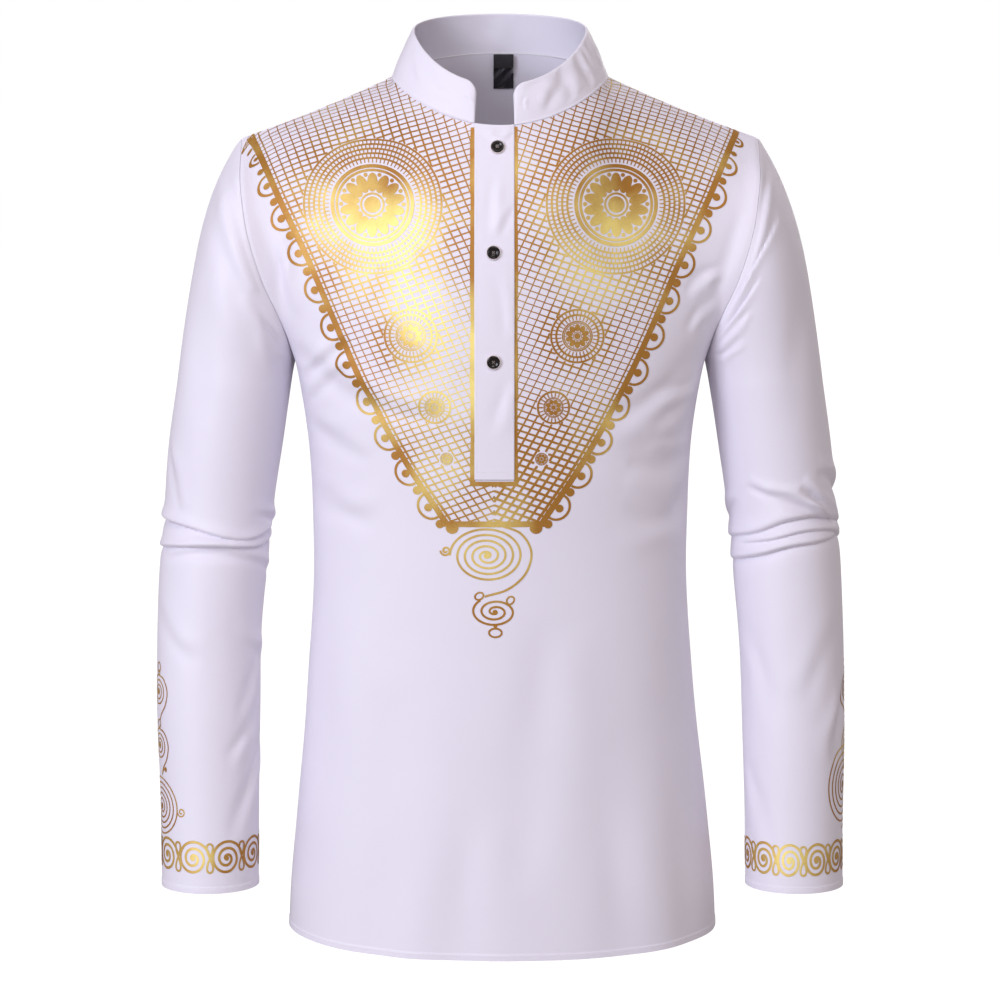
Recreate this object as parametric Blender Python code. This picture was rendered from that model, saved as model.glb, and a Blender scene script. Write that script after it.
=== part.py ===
"""Long-sleeved dashiki shirt, filled out with no wearer.

Metres, +Z up. The front faces -Y and the wearer's left is +X. The origin is the middle of
the neck base, level with the points where the shoulder seams meet the collar.
"""
import math
from collections import namedtuple

import bmesh
import bpy
import mathutils
import numpy as np

# Driving dimensions
WALL = 0.0012
COLLAR_WALL = 0.0020
LABEL_WALL = 0.0010
SEAM_GAP = 0.0003
HEM_Z = -0.749
UNDERARM_X = 0.1785
UNDERARM_Z = -0.240
SIDE_Y = 0.005
HEM_SIDE_RISE = 0.008
HEM_RISE_REACH = 0.150
ROW_DIP = 0.045
SECTION_SQUARENESS = 0.77
NECK_HALF_WIDTH = 0.0935
NECK_SIDE_Z = 0.0015
NECK_FRONT_DEPTH = 0.080
NECK_FRONT_DROP = 0.0415
NECK_FRONT_CURVE = 1.7
NECK_BACK_DEPTH = 0.072
NECK_BACK_RISE = 0.0205
NECK_BACK_CURVE = 1.3
SHOULDER_X = 0.2235
SHOULDER_Z = -0.0510
SHOULDER_SAG = 0.002
COLLAR_HEIGHT = 0.0340
COLLAR_SIDE_EXTRA = 0.0060
COLLAR_LEAN = 0.0075
COLLAR_SIDE_LEAN = 0.0100
COLLAR_LEAN_POWER = 1.2
COLLAR_CORNER_RADIUS = 0.010
PLACKET_LEFT_X = -0.0215
PLACKET_RIGHT_X = 0.0122
PLACKET_BOTTOM_Z = -0.337
BUTTON_RADIUS = 0.0058
LABEL_X = 0.0031
LABEL_HALF_WIDTH = 0.0088
LABEL_LENGTH = 0.0300
TAB_LENGTH = 0.0115

# Grid of each body panel: u runs across from -1 to 1, v up from the underarm to the top edge
NECK_U = 0.35
LOWER_CONTROLS = 24
UPPER_CONTROLS = 10
CONTROL_COLUMNS = 40
RELAX_PASSES = 8
RELAX_SHARE = 0.5
ROW_DIP_CURVE = 0.6
ARMHOLE_REACH_POWER = 4

# How far the panel keeps its lean above the underarm, and how it comes up to its top edge
RISE_MIDDLE = 0.155
RISE_SIDE = 0.075
OVER_SHOULDER = (0.0, 0.058, 0.0)
UP_TO_FRONT_NECK = (0.0, -0.022, -0.050)
UP_TO_BACK_NECK = (0.0, 0.020, -0.060)

Section = namedtuple("Section", "z half_width front back")
BODY_SECTIONS = (
    Section(-0.749, 0.1890, 0.128, 0.124),
    Section(-0.700, 0.1864, 0.124, 0.119),
    Section(-0.640, 0.1805, 0.119, 0.113),
    Section(-0.580, 0.1742, 0.116, 0.107),
    Section(-0.520, 0.1688, 0.114, 0.102),
    Section(-0.460, 0.1642, 0.113, 0.099),
    Section(-0.420, 0.1628, 0.113, 0.098),
    Section(-0.380, 0.1635, 0.114, 0.098),
    Section(-0.340, 0.1650, 0.117, 0.100),
    Section(-0.300, 0.1683, 0.120, 0.104),
    Section(-0.270, 0.1730, 0.123, 0.109),
    Section(UNDERARM_Z, UNDERARM_X, 0.126, 0.113),
)

Point = namedtuple("Point", "x y z")
UNDERARM_POINT = Point(UNDERARM_X, SIDE_Y, UNDERARM_Z)
SHOULDER_POINT = Point(SHOULDER_X, 0.0, SHOULDER_Z)
FRONT_ARMHOLE = (
    UNDERARM_POINT,
    Point(0.1810, -0.022, -0.2330),
    Point(0.1880, -0.046, -0.2080),
    Point(0.2030, -0.060, -0.1720),
    Point(0.2150, -0.060, -0.1330),
    Point(0.2220, -0.042, -0.0880),
    SHOULDER_POINT,
)
BACK_ARMHOLE = (
    UNDERARM_POINT,
    Point(0.1820, 0.032, -0.2320),
    Point(0.1900, 0.055, -0.2060),
    Point(0.2040, 0.067, -0.1700),
    Point(0.2150, 0.066, -0.1310),
    Point(0.2220, 0.047, -0.0860),
    SHOULDER_POINT,
)

SleeveSection = namedtuple("SleeveSection", "z centre_x centre_y half_width half_depth")
SLEEVE_SECTIONS = (
    SleeveSection(-0.2615, 0.2317, 0.006, 0.0499, 0.0620),
    SleeveSection(-0.3140, 0.2395, 0.007, 0.0496, 0.0590),
    SleeveSection(-0.3670, 0.2459, 0.006, 0.0478, 0.0560),
    SleeveSection(-0.4200, 0.2510, 0.002, 0.0474, 0.0540),
    SleeveSection(-0.4730, 0.2545, -0.004, 0.0460, 0.0515),
    SleeveSection(-0.5440, 0.2567, -0.012, 0.0450, 0.0495),
    SleeveSection(-0.6335, 0.2578, -0.022, 0.0430, 0.0475),
    SleeveSection(-0.7010, 0.2580, -0.030, 0.0424, 0.0470),
)

# How a sleeve leaves the armhole and comes down to its first level ring, as shares of the
# way between them: on its outer side, its inner side, and what the front and back add
LEAVE_OUTER = (0.50, 0.0, -0.64)
LEAVE_INNER = (0.15, 0.0, -1.0)
LEAVE_FACES = (0.05, 0.0, -0.10)
LEAVE_FORWARD = (0.0, -0.22, 0.0)
ARRIVE_OUTER = (0.14, 0.0, -1.1)
ARRIVE_INNER = (0.16, 0.0, -1.0)

# Largest folds, in millimetres as seen from the front or the back, x measured towards the
# outer side on a sleeve. A trough lies on the line and a ridge beside it.
Fold = namedtuple("Fold", "x0 z0 x1 z1 bow width trough ridge")
RIGHT_SLEEVE_FOLDS = {
    "front": (
        Fold(302, -376, 190, -384, 11, 6, 5.0, 3.0),
        Fold(304, -402, 190, -405, -2, 6, 3.5, 3.0),
        Fold(212, -190, 178, -242, 0, 8, 3.0, 1.5),
    ),
    "back": (
        Fold(302, -392, 190, -378, -5, 8, 3.0, 2.0),
        Fold(214, -170, 182, -238, 0, 9, 3.0, 1.5),
    ),
}
LEFT_SLEEVE_FOLDS = {
    "front": (
        Fold(196, -356, 300, -338, -5, 6, 3.0, 2.5),
        Fold(196, -392, 304, -378, 4, 6, 5.0, 3.0),
        Fold(196, -412, 304, -398, 0, 6, 3.0, 2.5),
        Fold(226, -120, 190, -205, 0, 8, 3.0, 2.0),
    ),
    "back": (
        Fold(300, -385, 190, -396, 4, 8, 3.0, 2.0),
        Fold(214, -170, 182, -238, 0, 9, 3.0, 1.5),
    ),
}


def smooth_table(x, xs, ys):
    """Cubic curve through a table's points, with the mean slope of its neighbours at each."""
    xs = np.asarray(xs, float)
    ys = np.asarray(ys, float)
    slopes = np.gradient(ys, xs, axis=0)
    x = np.asarray(x, float)
    i = np.clip(np.searchsorted(xs, x) - 1, 0, len(xs) - 2)
    step = xs[i + 1] - xs[i]
    t = np.clip((x - xs[i]) / step, 0.0, 1.0)
    t = t.reshape(x.shape + (1,) * (ys.ndim - 1))
    step = step.reshape(t.shape)
    return ((1 + 2 * t) * (1 - t) ** 2 * ys[i] + t * (1 - t) ** 2 * step * slopes[i]
            + t * t * (3 - 2 * t) * ys[i + 1] - t * t * (1 - t) * step * slopes[i + 1])


def along_path(points, t):
    """Points at the fractions t of the length of a smooth path."""
    points = np.asarray(points, float)
    knots = np.concatenate(([0.0], np.cumsum(np.linalg.norm(np.diff(points, axis=0), axis=1))))
    fine = smooth_table(np.linspace(0.0, knots[-1], 200), knots, points)
    length = np.concatenate(([0.0], np.cumsum(np.linalg.norm(np.diff(fine, axis=0), axis=1))))
    at = np.asarray(t) * length[-1]
    return np.stack([np.interp(at, length, fine[:, k]) for k in range(3)], axis=-1)


def body_ring(u, z, back):
    """The point at u on the body's level ring at height z."""
    zs = [s.z for s in BODY_SECTIONS]
    half_width = smooth_table(z, zs, [s.half_width for s in BODY_SECTIONS])
    depth = smooth_table(z, zs, [s.back if back else s.front for s in BODY_SECTIONS])
    angle = u * math.pi / 2
    swell = np.maximum(np.cos(angle), 0.0) ** SECTION_SQUARENESS
    y = SIDE_Y + (depth if back else -depth) * swell
    return np.stack([half_width * np.sin(angle), y, z + 0.0 * angle], axis=-1)


def neck_point(angle, back):
    """The neck seam at an angle from the middle: 0 at the front or back, 90 degrees at a side."""
    reach = np.maximum(np.cos(angle), 0.0)
    x = NECK_HALF_WIDTH * np.sin(angle)
    if back:
        y = NECK_BACK_DEPTH * reach
        z = NECK_SIDE_Z + NECK_BACK_RISE * reach ** NECK_BACK_CURVE
    else:
        y = -NECK_FRONT_DEPTH * reach
        z = NECK_SIDE_Z - NECK_FRONT_DROP * reach ** NECK_FRONT_CURVE
    return np.stack([x, y, z], axis=-1)


def top_edge(u, back):
    """The panel's upper edge: the neck seam in the middle and a shoulder seam on each side."""
    side = np.sign(u)
    along = np.clip((np.abs(u) - NECK_U) / (1 - NECK_U), 0.0, 1.0)
    x = NECK_HALF_WIDTH + (SHOULDER_X - NECK_HALF_WIDTH) * along
    z = NECK_SIDE_Z + (SHOULDER_Z - NECK_SIDE_Z) * along
    z -= SHOULDER_SAG * np.sin(math.pi * along)
    shoulder = np.stack([side * x, 0.0 * x, z], axis=-1)
    angle = np.clip(u / NECK_U, -1.0, 1.0) * math.pi / 2
    return np.where((np.abs(u) > NECK_U)[:, None], shoulder, neck_point(angle, back))


def top_tangent(u, back):
    """How the cloth comes up to the top edge: over the shoulder, or up to the neck seam."""
    to_neck = np.cos(np.clip(u / NECK_U, -1.0, 1.0) * math.pi / 2) ** 2
    over_shoulder = np.array(OVER_SHOULDER) * (1.0 if back else -1.0)
    up_to_neck = np.array(UP_TO_BACK_NECK if back else UP_TO_FRONT_NECK)
    return over_shoulder + to_neck[:, None] * (up_to_neck - over_shoulder)


def armhole_edge(v, back):
    """The armhole edge at the +X side, from the underarm up to the shoulder point."""
    return along_path(BACK_ARMHOLE if back else FRONT_ARMHOLE, v)


def underarm_row(u):
    """Height of the row through the underarm points, which dips towards the middle."""
    return UNDERARM_Z - ROW_DIP * np.maximum(np.cos(u * math.pi / 2), 0.0) ** ROW_DIP_CURVE


def lower_row(u, part, back):
    """One row between the hem, part 0, and the underarm row, part 1."""
    z = HEM_Z + (underarm_row(u) - HEM_Z) * part
    fade = np.clip(1 - (z - HEM_Z) / HEM_RISE_REACH, 0.0, 1.0)
    rise = HEM_SIDE_RISE * np.sin(u * math.pi / 2) ** 4 * fade
    return body_ring(u, z + rise, back)


def upper_row(u, v, back):
    """One row of the panel above the underarm."""
    start = underarm_row(u)
    low = body_ring(u, start, back)
    lean = (low - body_ring(u, start - 0.01, back)) / 0.01
    rise = RISE_MIDDLE + (RISE_SIDE - RISE_MIDDLE) * np.abs(u)
    high = top_edge(u, back)
    first = low + lean * rise[:, None]
    second = high + top_tangent(u, back)
    row = ((1 - v) ** 3 * low + 3 * v * (1 - v) ** 2 * first
           + 3 * v * v * (1 - v) * second + v ** 3 * high)
    edge = armhole_edge(v, back) - row[-1]
    weight = np.abs(u) ** ARMHOLE_REACH_POWER
    shift = np.stack([np.sign(u) * weight * edge[0], weight * edge[1], weight * edge[2]], axis=-1)
    return row + shift


def panel_controls(back):
    """Control grid of a body panel, hem to top edge, relaxed where neck and shoulder join."""
    u = np.linspace(-1.0, 1.0, CONTROL_COLUMNS + 1)
    rows = [lower_row(u, part, back) for part in np.linspace(0.0, 1.0, LOWER_CONTROLS + 1)[:-1]]
    rows += [upper_row(u, v, back) for v in np.linspace(0.0, 1.0, UPPER_CONTROLS + 1)]
    grid = np.array(rows)
    first = LOWER_CONTROLS - 2
    for _ in range(RELAX_PASSES):
        inner = grid[first:-1, 1:-1]
        mean = (grid[first - 1:-2, 1:-1] + grid[first + 1:, 1:-1]
                + grid[first:-1, :-2] + grid[first:-1, 2:]) / 4
        grid[first:-1, 1:-1] = inner + RELAX_SHARE * (mean - inner)
    return grid


def panel_surface(controls, u, rows):
    """The panel at the columns u and at rows counted in controls, by cubic interpolation."""
    across = smooth_table(u, np.linspace(-1.0, 1.0, CONTROL_COLUMNS + 1),
                          controls.transpose(1, 0, 2))
    return smooth_table(rows, np.arange(controls.shape[0]), across.transpose(1, 0, 2))


def grid_normals(grid, closed):
    """Unit normals of a grid of points, which closes on itself across when closed is true."""
    if closed:
        across = np.roll(grid, -1, axis=1) - np.roll(grid, 1, axis=1)
    else:
        across = np.gradient(grid, axis=1)
    normals = np.cross(across, np.gradient(grid, axis=0))
    return normals / np.linalg.norm(normals, axis=-1, keepdims=True)


def fold_shift(x, z, folds):
    """Height of the folds at points seen from the front or back, all in metres."""
    shift = np.zeros_like(x)
    for fold in folds:
        start = np.array([fold.x0, fold.z0]) / 1000
        end = np.array([fold.x1, fold.z1]) / 1000
        span = np.linalg.norm(end - start)
        way = (end - start) / span
        along = ((x - start[0]) * way[0] + (z - start[1]) * way[1]) / span
        beside = (x - start[0]) * way[1] - (z - start[1]) * way[0]
        inside = np.clip(along, 0.0, 1.0)
        beside = beside - 4 * fold.bow / 1000 * inside * (1 - inside)
        fade = np.sin(math.pi * inside) ** 0.6
        width = fold.width / 1000
        shift += fade * (fold.ridge * np.exp(-((beside - 1.6 * width) / (1.2 * width)) ** 2)
                         - fold.trough * np.exp(-(beside / width) ** 2)) / 1000
    return shift


def smooth_step(x, low, high):
    t = np.clip((x - low) / (high - low), 0.0, 1.0)
    return t * t * (3 - 2 * t)


def wall_object(name, outer, inner, closed, material):
    """A thin closed wall between two grids of points."""
    rows, columns = outer.shape[:2]
    count = rows * columns
    points = np.concatenate([outer.reshape(-1, 3), inner.reshape(-1, 3)])
    faces = []

    def at(row, column):
        return row * columns + column % columns

    for i in range(rows - 1):
        for j in range(columns if closed else columns - 1):
            quad = (at(i, j), at(i, j + 1), at(i + 1, j + 1), at(i + 1, j))
            faces.append(quad)
            faces.append(tuple(k + count for k in reversed(quad)))
    for j in range(columns if closed else columns - 1):
        for row, turn in ((0, 1), (rows - 1, -1)):
            rim = (at(row, j + 1), at(row, j), at(row, j) + count, at(row, j + 1) + count)
            faces.append(rim[::turn])
    if not closed:
        for i in range(rows - 1):
            for column, turn in ((0, 1), (columns - 1, -1)):
                rim = (at(i, column), at(i + 1, column),
                       at(i + 1, column) + count, at(i, column) + count)
                faces.append(rim[::turn])
    return mesh_object(name, points, faces, material)


def mesh_object(name, points, faces, material):
    """A mesh object whose faces point out."""
    mesh = bpy.data.meshes.new(name)
    mesh.from_pydata([tuple(p) for p in points], [], faces)
    work = bmesh.new()
    work.from_mesh(mesh)
    bmesh.ops.recalc_face_normals(work, faces=work.faces)
    if work.calc_volume(signed=True) < 0:
        bmesh.ops.reverse_faces(work, faces=work.faces)
    work.to_mesh(mesh)
    work.free()
    mesh.shade_smooth()
    mesh.set_sharp_from_angle(angle=math.radians(50))
    mesh.materials.append(material)
    thing = bpy.data.objects.new(name, mesh)
    bpy.context.scene.collection.objects.link(thing)
    return thing


def plain_material(name, colour, roughness, metallic=0.0):
    material = bpy.data.materials.new(name)
    material.use_nodes = True
    shader = material.node_tree.nodes["Principled BSDF"]
    shader.inputs["Base Color"].default_value = (*colour, 1.0)
    shader.inputs["Roughness"].default_value = roughness
    shader.inputs["Metallic"].default_value = metallic
    return material


# Body panels

LOWER_ROWS = 14
UPPER_ROWS = 11
NECK_COLUMNS = 12
SHOULDER_COLUMNS = 8


def panel_columns():
    """Columns with one exactly at each neck corner."""
    neck = np.linspace(-NECK_U, NECK_U, NECK_COLUMNS + 1)
    shoulder = np.linspace(NECK_U, 1.0, SHOULDER_COLUMNS + 1)[1:]
    return np.concatenate([-shoulder[::-1], neck, shoulder])


def panel_rows():
    """Rows in controls, from the hem to the underarm and on to the top edge."""
    lower = np.linspace(0.0, LOWER_CONTROLS, LOWER_ROWS + 1)
    upper = np.linspace(LOWER_CONTROLS, LOWER_CONTROLS + UPPER_CONTROLS, UPPER_ROWS + 1)[1:]
    return np.concatenate([lower, upper])


def body_panel(controls, back):
    """Outer and inner points of a panel, cut back by half a seam gap where it meets the other."""
    outer = panel_surface(controls, panel_columns(), panel_rows())
    normals = grid_normals(outer, closed=False) * (-1.0 if back else 1.0)
    half_gap = SEAM_GAP * (0.5 if back else -0.5)
    shoulder = np.abs(panel_columns()) >= NECK_U - 1e-9
    outer[:LOWER_ROWS + 1, [0, -1], 1] += half_gap
    outer[-1, shoulder, 1] += half_gap
    inner = outer - WALL * normals
    inner[:LOWER_ROWS + 1, [0, -1], 1] = outer[:LOWER_ROWS + 1, [0, -1], 1]
    inner[-1, shoulder, 1] = outer[-1, shoulder, 1]
    return outer, inner, normals


# Sleeves

SLEEVE_CAP_ROWS = 7
SLEEVE_ROW_HEIGHTS = (-0.295, -0.330, -0.358, -0.374, -0.383, -0.391, -0.399, -0.407, -0.415,
                      -0.425, -0.440, -0.470, -0.510, -0.555, -0.605, -0.655, -0.701)


def sleeve_ring(angle, z):
    """The sleeve's level ring: angle 0 at its outer side, 90 degrees at the front."""
    zs = -np.array([s.z for s in SLEEVE_SECTIONS])
    centre_x, centre_y, half_width, half_depth = (
        smooth_table(-z, zs, [getattr(s, name) for s in SLEEVE_SECTIONS])
        for name in ("centre_x", "centre_y", "half_width", "half_depth"))
    x = centre_x + half_width * np.cos(angle)
    y = centre_y - half_depth * np.sin(angle)
    return np.stack([x, y, z + 0.0 * angle], axis=-1)


def sleeve_cap_row(start, angle, t):
    """A ring between the armhole and the first level ring, t from 0 to 1."""
    first_z = SLEEVE_SECTIONS[0].z
    end = sleeve_ring(angle, first_z)
    chord = np.linalg.norm(end - start, axis=1)[:, None]
    outer = ((1 + np.cos(angle)) / 2)[:, None]
    front = np.sin(angle)[:, None]
    leave = (outer * np.array(LEAVE_OUTER) + (1 - outer) * np.array(LEAVE_INNER)
             + np.abs(front) * np.array(LEAVE_FACES) + front * np.array(LEAVE_FORWARD))
    arrive = outer * np.array(ARRIVE_OUTER) + (1 - outer) * np.array(ARRIVE_INNER)
    return ((1 + 2 * t) * (1 - t) ** 2 * start + t * (1 - t) ** 2 * chord * leave
            + t * t * (3 - 2 * t) * end - t * t * (1 - t) * chord * arrive)


def sleeve_grid(front_edge, back_edge):
    """Outer points of the +X sleeve, whose first ring follows the body's armhole edge."""
    upper = np.linspace(0.0, 1.0, len(front_edge))
    start = np.concatenate([front_edge[::-1], back_edge[1:-1]])
    angle = np.concatenate([math.pi * (1 - upper[::-1]), math.pi * (1 + upper[1:-1])])
    start = start + np.array([SEAM_GAP, 0.0, 0.0])
    rows = [sleeve_cap_row(start, angle, t) for t in np.linspace(0.0, 1.0, SLEEVE_CAP_ROWS + 1)]
    rows += [sleeve_ring(angle, z) for z in SLEEVE_ROW_HEIGHTS]
    return np.array(rows)


def folded(outer, normals, folds):
    """The sleeve's points with its largest folds, faded out at the armhole."""
    front = smooth_step(-normals[..., 1], 0.0, 0.5)
    back = smooth_step(normals[..., 1], 0.0, 0.5)
    shift = (front * fold_shift(outer[..., 0], outer[..., 2], folds["front"])
             + back * fold_shift(outer[..., 0], outer[..., 2], folds["back"]))
    shift[0] = 0.0
    shift[1] *= 0.5
    return outer + shift[..., None] * normals


def sleeve_object(name, side, folds, front_edge, back_edge, body_inner_edge, material):
    """A sleeve set into the armhole, on the side of the sign of side."""
    outer = sleeve_grid(front_edge, back_edge)
    normals = grid_normals(outer, closed=True)
    outer = folded(outer, normals, folds)
    inner = outer - WALL * normals
    inner[0, :, 0] = np.maximum(inner[0, :, 0], body_inner_edge + SEAM_GAP)
    mirror = np.array([side, 1.0, 1.0])
    return wall_object(name, outer * mirror, inner * mirror, True, material)


# Collar

COLLAR_ROWS = (0.0, 0.3, 0.6, 0.85, 1.0)
COLLAR_CORNER_STEPS = 4
CORNER_CLEARANCE = 1.1


def neck_seam(front_outer, back_outer):
    """The neck seam from the left end of the collar, round the back, to its right end."""
    neck = np.abs(panel_columns()) <= NECK_U + 1e-9
    front = front_outer[-1, neck]
    back = back_outer[-1, neck]
    middle = len(front) // 2

    def front_at(x):
        return np.array([x, *(np.interp(x, front[:, 0], front[:, k]) for k in (1, 2))])

    left = front[1:middle][::-1]
    right = front[middle + 1:-1][::-1]
    return np.concatenate([[front_at(PLACKET_LEFT_X)], left, back,
                           right, [front_at(PLACKET_RIGHT_X)]])


def collar_object(front_outer, back_outer, material):
    """A band standing on the neck seam, open between its rounded front ends."""
    seam = neck_seam(front_outer, back_outer)
    length = np.concatenate(([0.0], np.cumsum(np.linalg.norm(np.diff(seam, axis=0), axis=1))))
    corner = np.linspace(0.0, 1.0, COLLAR_CORNER_STEPS + 1) ** 2 * COLLAR_CORNER_RADIUS
    clear = CORNER_CLEARANCE * COLLAR_CORNER_RADIUS
    inside = length[(length > clear) & (length < length[-1] - clear)]
    at = np.concatenate([corner, inside, length[-1] - corner[::-1]])
    foot = np.stack([np.interp(at, length, seam[:, k]) for k in range(3)], axis=-1)
    foot[:, 2] += SEAM_GAP

    depth = np.where(foot[:, 1] < 0, NECK_FRONT_DEPTH, NECK_BACK_DEPTH)
    inward = -np.stack([foot[:, 0] / NECK_HALF_WIDTH ** 2, foot[:, 1] / depth ** 2], axis=-1)
    inward /= np.linalg.norm(inward, axis=1, keepdims=True)
    side = np.clip(foot[:, 0] / NECK_HALF_WIDTH, -1.0, 1.0) ** 2
    height = COLLAR_HEIGHT + COLLAR_SIDE_EXTRA * side
    from_end = np.minimum(np.minimum(at, at[-1] - at), COLLAR_CORNER_RADIUS)
    short = COLLAR_CORNER_RADIUS - from_end
    height -= COLLAR_CORNER_RADIUS - np.sqrt(COLLAR_CORNER_RADIUS ** 2 - short ** 2)
    lean = COLLAR_LEAN + COLLAR_SIDE_LEAN * side

    outer = np.array([foot + np.column_stack([inward * (lean * h ** COLLAR_LEAN_POWER)[:, None],
                                              height * h])
                      for h in COLLAR_ROWS])
    inner = outer.copy()
    inner[..., :2] += inward * COLLAR_WALL
    return wall_object("collar", outer, inner, False, material)


# Placket, on the points of the front panel

LEAST_ROW = 0.004


def facet_point(grid, x, z):
    """The point at x and z on the flat facets of a grid whose rows run across."""
    line = np.array([[np.interp(x, row[:, 0], row[:, k]) for k in range(3)] for row in grid])
    return np.array([x, np.interp(z, line[:, 2], line[:, 1]), z])


def placket_grids(front_outer, normals):
    """Outer and inner points of the placket, and its normals, on the front panel's facets."""
    columns = np.array([PLACKET_LEFT_X, PLACKET_LEFT_X / 2, 0.0, PLACKET_RIGHT_X])
    middle = front_outer.shape[1] // 2
    heights = front_outer[:, middle, 2]
    rows = np.flatnonzero(heights > PLACKET_BOTTOM_Z + LEAST_ROW)
    first = rows[0]
    part = (PLACKET_BOTTOM_Z - heights[first - 1]) / (heights[first] - heights[first - 1])

    def across(grid, row):
        return np.array([[np.interp(x, front_outer[row, :, 0], grid[row, :, k])
                          for k in range(3)] for x in columns])

    def strip(grid):
        end = across(grid, first - 1) * (1 - part) + across(grid, first) * part
        return np.array([end] + [across(grid, row) for row in rows])

    face = strip(front_outer)
    out = strip(normals)
    out /= np.linalg.norm(out, axis=-1, keepdims=True)
    return face + (SEAM_GAP + WALL) * out, face + SEAM_GAP * out, out


# Buttons

BUTTON_STEPS = 20
BUTTON_PLACES = ((-0.0021, -0.0586), (-0.0054, -0.1454), (-0.0054, -0.2360))
Ring = namedtuple("Ring", "radius height")
BUTTON_PROFILE = (
    Ring(0.0049, 0.0), Ring(BUTTON_RADIUS, 0.0007), Ring(BUTTON_RADIUS, 0.0015),
    Ring(0.0053, 0.0020),
    Ring(0.0047, 0.0017), Ring(0.0043, 0.0023), Ring(0.0026, 0.0024), Ring(0.0018, 0.0020),
)


def button_object(name, place, normal, material):
    """A turned button: a rim round a raised boss with a small dish in it."""
    points = []
    for ring in BUTTON_PROFILE:
        for step in range(BUTTON_STEPS):
            turn = 2 * math.pi * step / BUTTON_STEPS
            points.append((ring.radius * math.cos(turn), ring.radius * math.sin(turn),
                           ring.height))
    faces = [tuple(reversed(range(BUTTON_STEPS)))]
    for low in range(len(BUTTON_PROFILE) - 1):
        for step in range(BUTTON_STEPS):
            here = low * BUTTON_STEPS + step
            beside = low * BUTTON_STEPS + (step + 1) % BUTTON_STEPS
            faces.append((here, beside, beside + BUTTON_STEPS, here + BUTTON_STEPS))
    last = (len(BUTTON_PROFILE) - 1) * BUTTON_STEPS
    faces.append(tuple(range(last, last + BUTTON_STEPS)))
    button = mesh_object(name, points, faces, material)
    button.location = place + normal * SEAM_GAP
    button.rotation_euler = mathutils.Vector(normal).to_track_quat("Z", "Y").to_euler()
    return button


# Label and size tab, on the inner points of the back panel

def label_object(name, back_inner, length, lift, material):
    """A strip that hangs inside the back from the neck seam."""
    xs = LABEL_X + LABEL_HALF_WIDTH * np.array([-1.0, 0.0, 1.0])
    top = np.interp(LABEL_X, back_inner[-1, :, 0], back_inner[-1, :, 2]) - 2 * SEAM_GAP
    heights = np.linspace(top - length, top, 4)
    face = np.array([[facet_point(back_inner, x, z) for x in xs] for z in heights])
    slope = np.gradient(face[:, 1], axis=0)
    into = np.stack([0.0 * slope[:, 1], -slope[:, 2], slope[:, 1]], axis=-1)
    into = (into / np.linalg.norm(into, axis=1, keepdims=True))[:, None]
    near = face + into * lift
    return wall_object(name, near + into * LABEL_WALL, near, False, material)


def main():
    for thing in list(bpy.data.objects):
        bpy.data.objects.remove(thing, do_unlink=True)
    cloth = plain_material("white_cloth", (0.86, 0.85, 0.90), 0.55)
    horn = plain_material("dark_horn", (0.02, 0.015, 0.013), 0.15)
    ribbon = plain_material("black_ribbon", (0.012, 0.012, 0.014), 0.6)

    front_outer, front_inner, front_normals = body_panel(panel_controls(back=False), back=False)
    back_outer, back_inner, _ = body_panel(panel_controls(back=True), back=True)
    wall_object("front", front_outer, front_inner, False, cloth)
    wall_object("back", back_outer, back_inner, False, cloth)

    edges = [grid[LOWER_ROWS:, -1] for grid in (front_outer, back_outer, front_inner, back_inner)]
    body_inner_x = np.concatenate([edges[2][::-1], edges[3][1:-1]])[:, 0]
    for name, side, folds in (("sleeve_left", 1.0, LEFT_SLEEVE_FOLDS),
                              ("sleeve_right", -1.0, RIGHT_SLEEVE_FOLDS)):
        sleeve_object(name, side, folds, edges[0], edges[1], body_inner_x, cloth)

    collar_object(front_outer, back_outer, cloth)
    outer, inner, normals = placket_grids(front_outer, front_normals)
    wall_object("placket", outer, inner, False, cloth)
    for number, (x, z) in enumerate(BUTTON_PLACES, 1):
        place = facet_point(outer, x, z)
        row = np.abs(outer[:, 1, 2] - z).argmin()
        button_object(f"button_{number}", place, normals[row, 1], horn)
    label_object("neck_label", back_inner, LABEL_LENGTH, SEAM_GAP, ribbon)
    label_object("size_tab", back_inner, TAB_LENGTH, 2 * SEAM_GAP + LABEL_WALL, ribbon)


main()
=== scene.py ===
import math
from collections import namedtuple

import bmesh
import bpy
import mathutils
import numpy as np
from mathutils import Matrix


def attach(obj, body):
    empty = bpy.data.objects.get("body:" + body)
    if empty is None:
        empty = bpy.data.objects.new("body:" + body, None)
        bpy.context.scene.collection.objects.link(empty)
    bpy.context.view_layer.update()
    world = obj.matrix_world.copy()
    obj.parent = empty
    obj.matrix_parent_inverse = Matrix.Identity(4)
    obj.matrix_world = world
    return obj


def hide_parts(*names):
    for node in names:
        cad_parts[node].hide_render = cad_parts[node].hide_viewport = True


# Looks of a long-sleeved dashiki shirt, filled out with no wearer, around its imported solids.
# Metres, +Z up. The front faces -Y and the wearer's left is +X. The origin is the middle of
# the neck base.

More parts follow.
